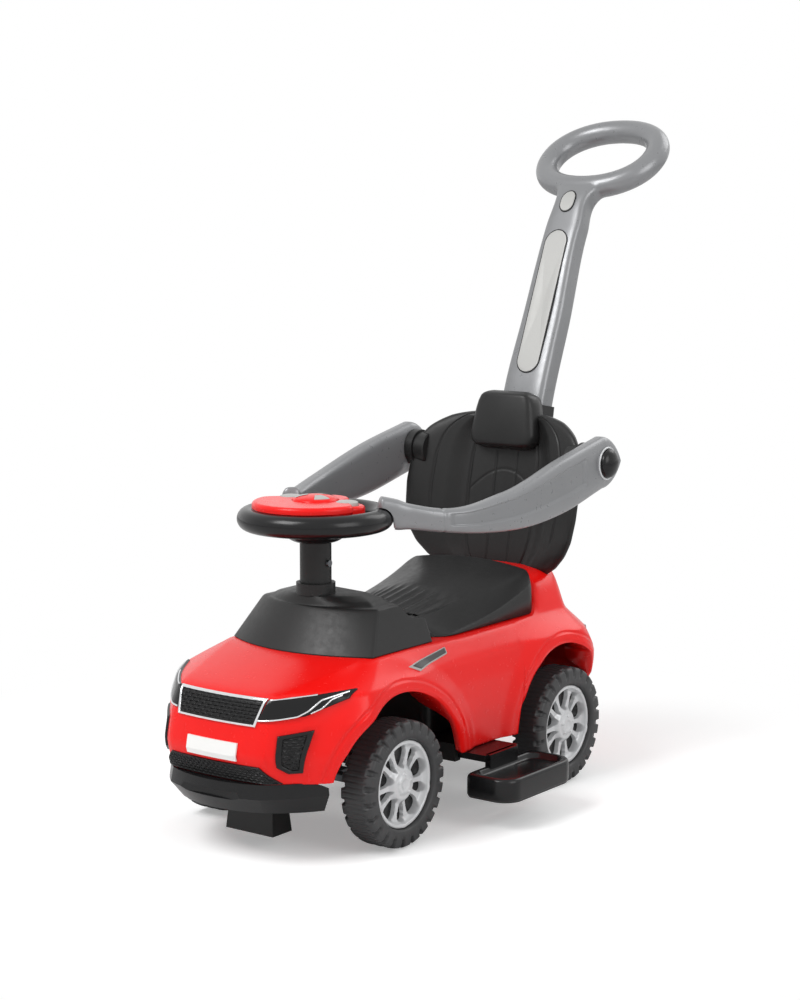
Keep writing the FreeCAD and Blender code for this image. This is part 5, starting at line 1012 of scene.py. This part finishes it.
def star_outline(points, count):
    """Points of a closed outline at even angles round the origin, from its corner-to-corner chain."""
    chain = np.concatenate([points, points[:1]])
    dense = np.concatenate([np.linspace(a, b, 60)[:-1] for a, b in zip(chain[:-1], chain[1:])])
    order = np.argsort(np.arctan2(dense[:, 1], dense[:, 0]))
    turn, reach = np.arctan2(dense[:, 1], dense[:, 0])[order], np.hypot(*dense.T)[order]
    angle = np.linspace(-np.pi, np.pi, count, endpoint=False)
    reach = np.interp(angle, turn, reach, period=2 * np.pi)
    reach = soften(reach[:, None], 6, 0, True)[:, 0]
    return np.stack([reach * np.cos(angle), reach * np.sin(angle)], axis=-1)


front_arc = arc_through((14, -68), (77, 0), (14, 68), 40)
rear_arc = arc_through((-21, 27), (-48, 0), (-21, -27), 20)
drum = drum_surface(star_outline(np.concatenate([front_arc, rear_arc]), 180), 27.4, 386.0, 4.5)
lobe_ring = np.stack([21 * np.cos(circle[:-1]), 21 * np.sin(circle[:-1])], axis=-1)
lobe = drum_surface(lobe_ring, 13.4, 382.4, 4.0)
panel_grids = [(drum + np.array([RIM_X, 0, 0]), False, True)]
panel_grids += [(lobe + np.array([*place, 0]), False, True) for place in LOBES.values()]
make_piece("fascia_skin", panel_grids, "red_shell", "steering_column", ["horn_panel"], crease=55)


def button_profile(radius, rise):
    """A button's turned profile from its crown to its base: a dome, a straight wall and a flat end."""
    return np.concatenate([np.stack([radius * np.sin(quarter), rise * np.cos(quarter)], axis=-1),
                           [(radius, -BUTTON_DEPTH), (0, -BUTTON_DEPTH)]])


for name, body, node_name, place, radius, rise, slot in (
    ("horn_dome", "horn", "horn_button", (RIM_X, 0), HORN_RADIUS, HORN_RISE, "red_shell"),
    ("left_dome", "music_left", "music_button_left", LOBES["left"], 13.0, 2.6, "button_silver"),
    ("right_dome", "music_right", "music_button_right", LOBES["right"], 13.0, 2.6, "button_silver"),
):
    dome = spin(button_profile(radius, rise), (*place, BUTTON_LEVEL), "Z")
    make_piece(name, [(dome, False, True)], slot, body, [node_name], crease=50)

wedge_turn = np.linspace(-0.42, 0.42, 16)[None, :]
wedge_reach = np.array([9.0, 9.0, 12.0, 16.0, 20.0, 23.5, 23.5])[:, None]
wedge_lift = np.array([-0.6, 0.5, 0.5, 0.5, 0.5, 0.5, -0.6])[:, None]
wedge_height = BUTTON_LEVEL + HORN_RISE * np.sqrt(1 - (wedge_reach / HORN_RADIUS) ** 2) + wedge_lift
wedges = []
for angle in np.radians([60, 180, 300]):
    turn = wedge_turn + angle
    wedge = np.stack([RIM_X + wedge_reach * np.cos(turn), wedge_reach * np.sin(turn),
                      wedge_height + 0 * turn], axis=-1)
    wedges.append((wedge, False, False))
make_piece("horn_wedges", wedges, "button_silver", "horn", crease=40)

# %% [markdown]
# ## Footrests
# Each is a deep tray with a large round at its outer corners and a sunken oval tread, moulded with
# the tongue that slides in the under-frame's rails. The tray is an outline carried over its rim and
# down into the tread; tongue and riser are plain bars.

# %% Footrests
TRAY_TOP = 64


def round_box(x_low, x_high, y_low, y_high, corners, count=24):
    """Plan of a box with its own radius at each corner, in the order rear right, front right, front
    left, rear left."""
    turn = np.radians(np.linspace(0, 90, count))
    places = zip((x_low, x_high, x_high, x_low), (y_low, y_low, y_high, y_high), corners)
    arcs = []
    for number, (x, y, radius) in enumerate(places):
        middle = np.array([x + radius * (1 if x == x_low else -1), y + radius * (1 if y == y_low else -1)])
        angle = turn + np.pi + number * np.pi / 2
        arcs.append(middle + radius * np.stack([np.cos(angle), np.sin(angle)], axis=-1))
    return np.concatenate(arcs)


def bar_surface(low, high):
    """A plain bar between two corners: its lower and upper outlines, each closed to its middle."""
    low, high = np.array(low, float), np.array(high, float)
    plan = np.array([(low[0], low[1]), (high[0], low[1]), (high[0], high[1]), (low[0], high[1])])
    middle = np.repeat(plan.mean(axis=0)[None], 4, axis=0)
    return np.stack([np.column_stack([outline, np.full(4, z)]) for outline, z in
                     ((middle, low[2]), (plan, low[2]), (plan, high[2]), (middle, high[2]))])


def tray_surface():
    """Rows go up the outer wall, over its round edge, across the rim and down to the sunken tread."""
    outer = round_box(94, 238, 151, 216, (6, 10, 24, 24))
    inner = round_box(104, 228, 158.5, 207, (14, 18, 20, 20))
    middle = np.repeat(inner.mean(axis=0)[None], len(inner), axis=0)
    rows = [(outer + (middle - outer) * 0.03, 36.0), (outer, 40.0), (outer, 50.0), (outer, 59.0)]
    rows += [(outer + (inner - outer) * share, TRAY_TOP - drop) for share, drop in
             ((0.05, 2.4), (0.18, 0.7), (0.38, 0), (0.62, 0), (0.85, 0.6), (1.0, 2.0))]
    rows += [(inner + (middle - inner) * share, TRAY_TOP - drop) for share, drop in
             ((0.04, 5.2), (0.10, 6.6), (0.3, 7.0), (0.6, 7.0), (1.0, 7.0))]
    return np.stack([np.column_stack([outline, np.full(len(outline), z)]) for outline, z in rows])


tray = tray_surface()
tongue = bar_surface((130, 62, 70.1), (200, 155, 78.1))
riser = bar_surface((135.9, 151.2, 56.5), (194.1, 159, 78.1))
for side, flip in MIRROR.items():
    make_piece(f"tray_skin_{side}", [(tray * flip, False, True)], "black_trim", f"{side}_footrest",
               [f"footrest_{side}"], crease=70, solid=2.6)
    bars = [(bar * flip, False, True) for bar in (tongue, riser)]
    make_piece(f"tray_tongue_{side}", bars, "black_trim", f"{side}_footrest", crease=30)

# %% [markdown]
# ## Trim on the nose
# Grille, lamps, vents and the lower band are thin black and plated mouldings that hug the nose.
# They are drawn flat in front view, then laid on the shell: a point's depth is read from the skin's
# outlines, and it stands off along the surface's normal. Meshes are height maps of staggered cells.

# %% Laying trim on the shell
# Columns of the trim outlines that make the left half of the nose, and the left flank from the rear
NOSE_PART, FLANK_PART = slice(0, 92), slice(240, 92, -1)


def mixed_by_height(readings, z):
    """A reading of every trim outline, mixed between the outlines just below and above a height."""
    level = np.interp(z, fair_heights, np.arange(len(fair)))
    below = np.clip(np.floor(level).astype(int), 0, len(fair) - 2)
    low, high = (np.take_along_axis(readings, (below + step)[None], axis=0)[0] for step in (0, 1))
    return low + (high - low) * (level - below)


def nose_depth(y, z):
    """Depth of the nose at a place in front view: each outline read at |y|, mixed by height."""
    depth = [np.interp(np.abs(y), loop[NOSE_PART, 1], loop[NOSE_PART, 0]) for loop in fair]
    return mixed_by_height(np.stack(depth), z)


def on_nose(flat, lift):
    """Points of a front view that stand off the nose by a lift along its normal, which comes from
    differences of depth over 1 mm."""
    y, z = flat[..., 0], flat[..., 1]
    slope_y = nose_depth(y + 0.5, z) - nose_depth(y - 0.5, z)
    slope_z = nose_depth(y, z + 0.5) - nose_depth(y, z - 0.5)
    normal = np.stack([np.ones_like(y), -slope_y, -slope_z], axis=-1)
    normal /= np.linalg.norm(normal, axis=-1, keepdims=True)
    return np.stack([nose_depth(y, z), y, z], axis=-1) + normal * lift[..., None]


def side_line(corners, count):
    """Evenly spaced points along each side of a closed polygon."""
    corners = np.array(corners, float)
    ends = np.roll(corners, -1, axis=0)
    share = np.linspace(0, 1, count, endpoint=False)[None, :, None]
    return (corners[:, None] * (1 - share) + ends[:, None] * share).reshape(-1, 2)


def between(outer, inner, shares, lifts):
    """Rows from an outer outline to an inner one, each at its own lift."""
    shares = np.asarray(shares, float)[:, None, None]
    flat = outer[None] + (inner - outer)[None] * shares
    return on_nose(flat, np.asarray(lifts, float)[:, None] + 0 * flat[..., 0])


def field(corners, rows, columns):
    """Flat grid inside four corners, given from lower right round to lower left."""
    up, side = np.linspace(0, 1, rows)[:, None, None], np.linspace(0, 1, columns)[None, :, None]
    a, b, c, d = (np.array(corner, float) for corner in corners)
    return (a * (1 - side) + b * side) * (1 - up) + (d * (1 - side) + c * side) * up


def edge_distance(rows, columns, row_scale, column_scale):
    """How far each point of a grid is from its edges: the lesser of two distances, each a share of the
    rows or columns times its scale."""
    up, side = (np.minimum(np.linspace(0, 1, count), np.linspace(1, 0, count)) for count in (rows, columns))
    return np.minimum(up[:, None] * row_scale, side[None, :] * column_scale)


def cells(flat, pitch, row):
    """1 in the open part of a staggered mesh, 0 on its bars: the nearer of two lattices of ovals."""
    nearest = 9.0
    for shift in (0.0, 0.5):
        across = (flat[..., 0] / pitch + shift) % 1 - 0.5
        up = (flat[..., 1] / row + shift) % 1 - 0.5
        nearest = np.minimum(nearest, (np.abs(across / 0.44) ** 3 + np.abs(up / 0.24) ** 3) ** (1 / 3))
    return ease(1.12 - nearest, 0, 0.34)


# %% Grille
outer = side_line([(-56.3, 158.3), (56.3, 158.3), (62.7, 187.7), (-62.7, 187.7)], 40)
inner = side_line([(-53.6, 160.8), (53.6, 160.8), (59.2, 185.2), (-59.2, 185.2)], 40)
surround = between(outer, inner, (0, 0, 0.25, 0.75, 1, 1), (-1, 2.0, 2.8, 2.8, 2.0, 0.2))
make_piece("grille_surround", [(surround, False, True)], "bright_trim", "car", ["grille_frame"])
flat = field([(-54.2, 160.4), (54.2, 160.4), (59.8, 185.6), (-59.8, 185.6)], 110, 330)
net = on_nose(flat, 2.3 - 1.9 * cells(flat, 9.6, 7.2))
make_piece("grille_net", [(net, False, False)], "black_trim", "car", ["grille_mesh"])

# %% Head lamps
LAMP_TIP, LAMP_ROWS, LAMP_COLUMNS = 126, 36, 90


def lamp_field(rows, columns):
    """Flat grid of a lamp, from its slanted inner end to its tip, between its lower and upper edges."""
    up, side = np.linspace(0, 1, rows)[:, None], np.linspace(0, 1, columns)[None, :]
    inner_end = 56.8 + 6.6 * up
    y = inner_end + (LAMP_TIP - inner_end) * side
    low = np.interp(y, (56, 98, LAMP_TIP), (163.2, 169.0, 186.0))
    high = np.interp(y, (56, LAMP_TIP), (187.6, 194.0))
    return np.stack([y, low + (high - low) * up], axis=-1)


def strip(path, width, lift):
    """A thin raised line along a path in front view: five rows across it, the middle ones proud."""
    path = np.array(path, float)
    places = np.concatenate([[0], np.cumsum(np.linalg.norm(np.diff(path, axis=0), axis=1))])
    spots = np.linspace(0, places[-1], 90)
    line = np.stack([np.interp(spots, places, path[:, k]) for k in (0, 1)], axis=-1)
    line = soften(line, 4, 0, False)
    step = np.gradient(line, axis=0)
    normal = np.stack([-step[:, 1], step[:, 0]], axis=-1) / np.linalg.norm(step, axis=1)[:, None]
    flat = line[None] + normal[None] * (np.array([-1, -0.7, 0, 0.7, 1])[:, None, None] * width / 2)
    rise = np.array([0, 0.75, 1.0, 0.75, 0])[:, None] * 0.9 + lift
    return on_nose(flat, rise + 0 * flat[..., 0])


margin = edge_distance(LAMP_ROWS, LAMP_COLUMNS, 6, 20)
lens = on_nose(lamp_field(LAMP_ROWS, LAMP_COLUMNS), -1.5 + 3.9 * ease(margin, 0, 0.5))
# Bright lines: their points in front view, then the width
LINES = (
    (((58.6, 165.2), (78, 167.0), (92, 169.5), (99, 175), (106, 185.5), (122, 191.4)), 1.8),
    (((101, 172.2), (108, 177), (113, 185.5), (119, 188.6)), 1.5),
    (((66, 186.2), (84, 188.2), (101, 190.0)), 1.0),
)
lines = [strip(path, width, 2.3) for path, width in LINES]
for side, flip in MIRROR.items():
    make_piece(f"lamp_lens_{side}", [(lens * flip, False, False)], "light_lens", "car",
               [f"headlight_{side}"])
    make_piece(f"lamp_lines_{side}", [(line * flip, False, False) for line in lines], "bright_trim", "car")

# %% Fog vents and lower band
vent_edge = [(80, 116), (87.5, 108), (98.5, 108), (106.5, 155), (79.5, 150)]
vent_inner = [(84.5, 118.0), (90.5, 111.6), (95.6, 111.6), (101.6, 150.2), (84.2, 146.2)]
outline, opening = side_line(vent_edge, 24), side_line(vent_inner, 24)
frame_rows = between(outline, opening, (0, 0, 0.2, 0.8, 1, 1), (-1.5, 1.9, 2.9, 2.6, 1.6, -0.5))
middle = np.repeat(opening.mean(axis=0)[None], len(opening), axis=0)
share = np.linspace(0, 1, 60)[:, None, None]
flat = opening[None] + (middle - opening)[None] * share
vent_net = on_nose(flat, 1.6 - 1.3 * cells(flat, 6.4, 6.0))
for side, flip in MIRROR.items():
    make_piece(f"vent_{side}", [(frame_rows * flip, False, True), (vent_net * flip, False, True)],
               "black_trim", "car", [f"fog_vent_{side}"])

BAND_ROWS, BAND_COLUMNS = 76, 420
flat = field([(-84, 95.4), (84, 95.4), (64, 116), (-64, 116)], BAND_ROWS, BAND_COLUMNS)
margin = edge_distance(BAND_ROWS, BAND_COLUMNS, 10, 60)
lift = -1.5 + 4.2 * ease(margin, 0, 0.7)
lift = lift - 1.7 * cells(flat, 7.0, 6.2) * ease(margin, 0.8, 1.2)
make_piece("band_net", [(on_nose(flat, lift), False, False)], "black_trim", "car", ["lower_grille"])

# %% [markdown]
# ## Trim on the wings
# Behind each front wheel a slim dark inlay with a bright edge lies on the shoulder of the body.

# %% Wing inlays
def flank(x, z, lift):
    """Points on the left flank: each outline read at x, mixed by height, and moved out by a lift."""
    width = [np.interp(x, loop[FLANK_PART, 0], loop[FLANK_PART, 1]) for loop in fair]
    return np.stack([x, mixed_by_height(np.stack(width), z) + lift * 0.8, z + lift * 0.6], axis=-1)


def inlay(corners, rows, columns, lift):
    """A thin plate on the flank between four corners, tucked in along its edges."""
    flat = field(corners, rows, columns)
    edge = edge_distance(rows, columns, 6, 30)
    return flank(flat[..., 0], flat[..., 1], -3.0 + (3.0 + lift) * ease(edge, 0, 0.5))


border = inlay([(293, 193.2), (228, 200.8), (226, 209.0), (311, 201.0)], 20, 60, 2.4)
dark = inlay([(291.5, 194.4), (230, 201.6), (228.5, 207.8), (307, 200.4)], 20, 60, 3.0)
for side, flip in MIRROR.items():
    make_piece(f"inlay_edge_{side}", [(border * flip, False, False)], "button_silver", "car")
    make_piece(f"inlay_{side}", [(dark * flip, False, False)], "black_trim", "car")
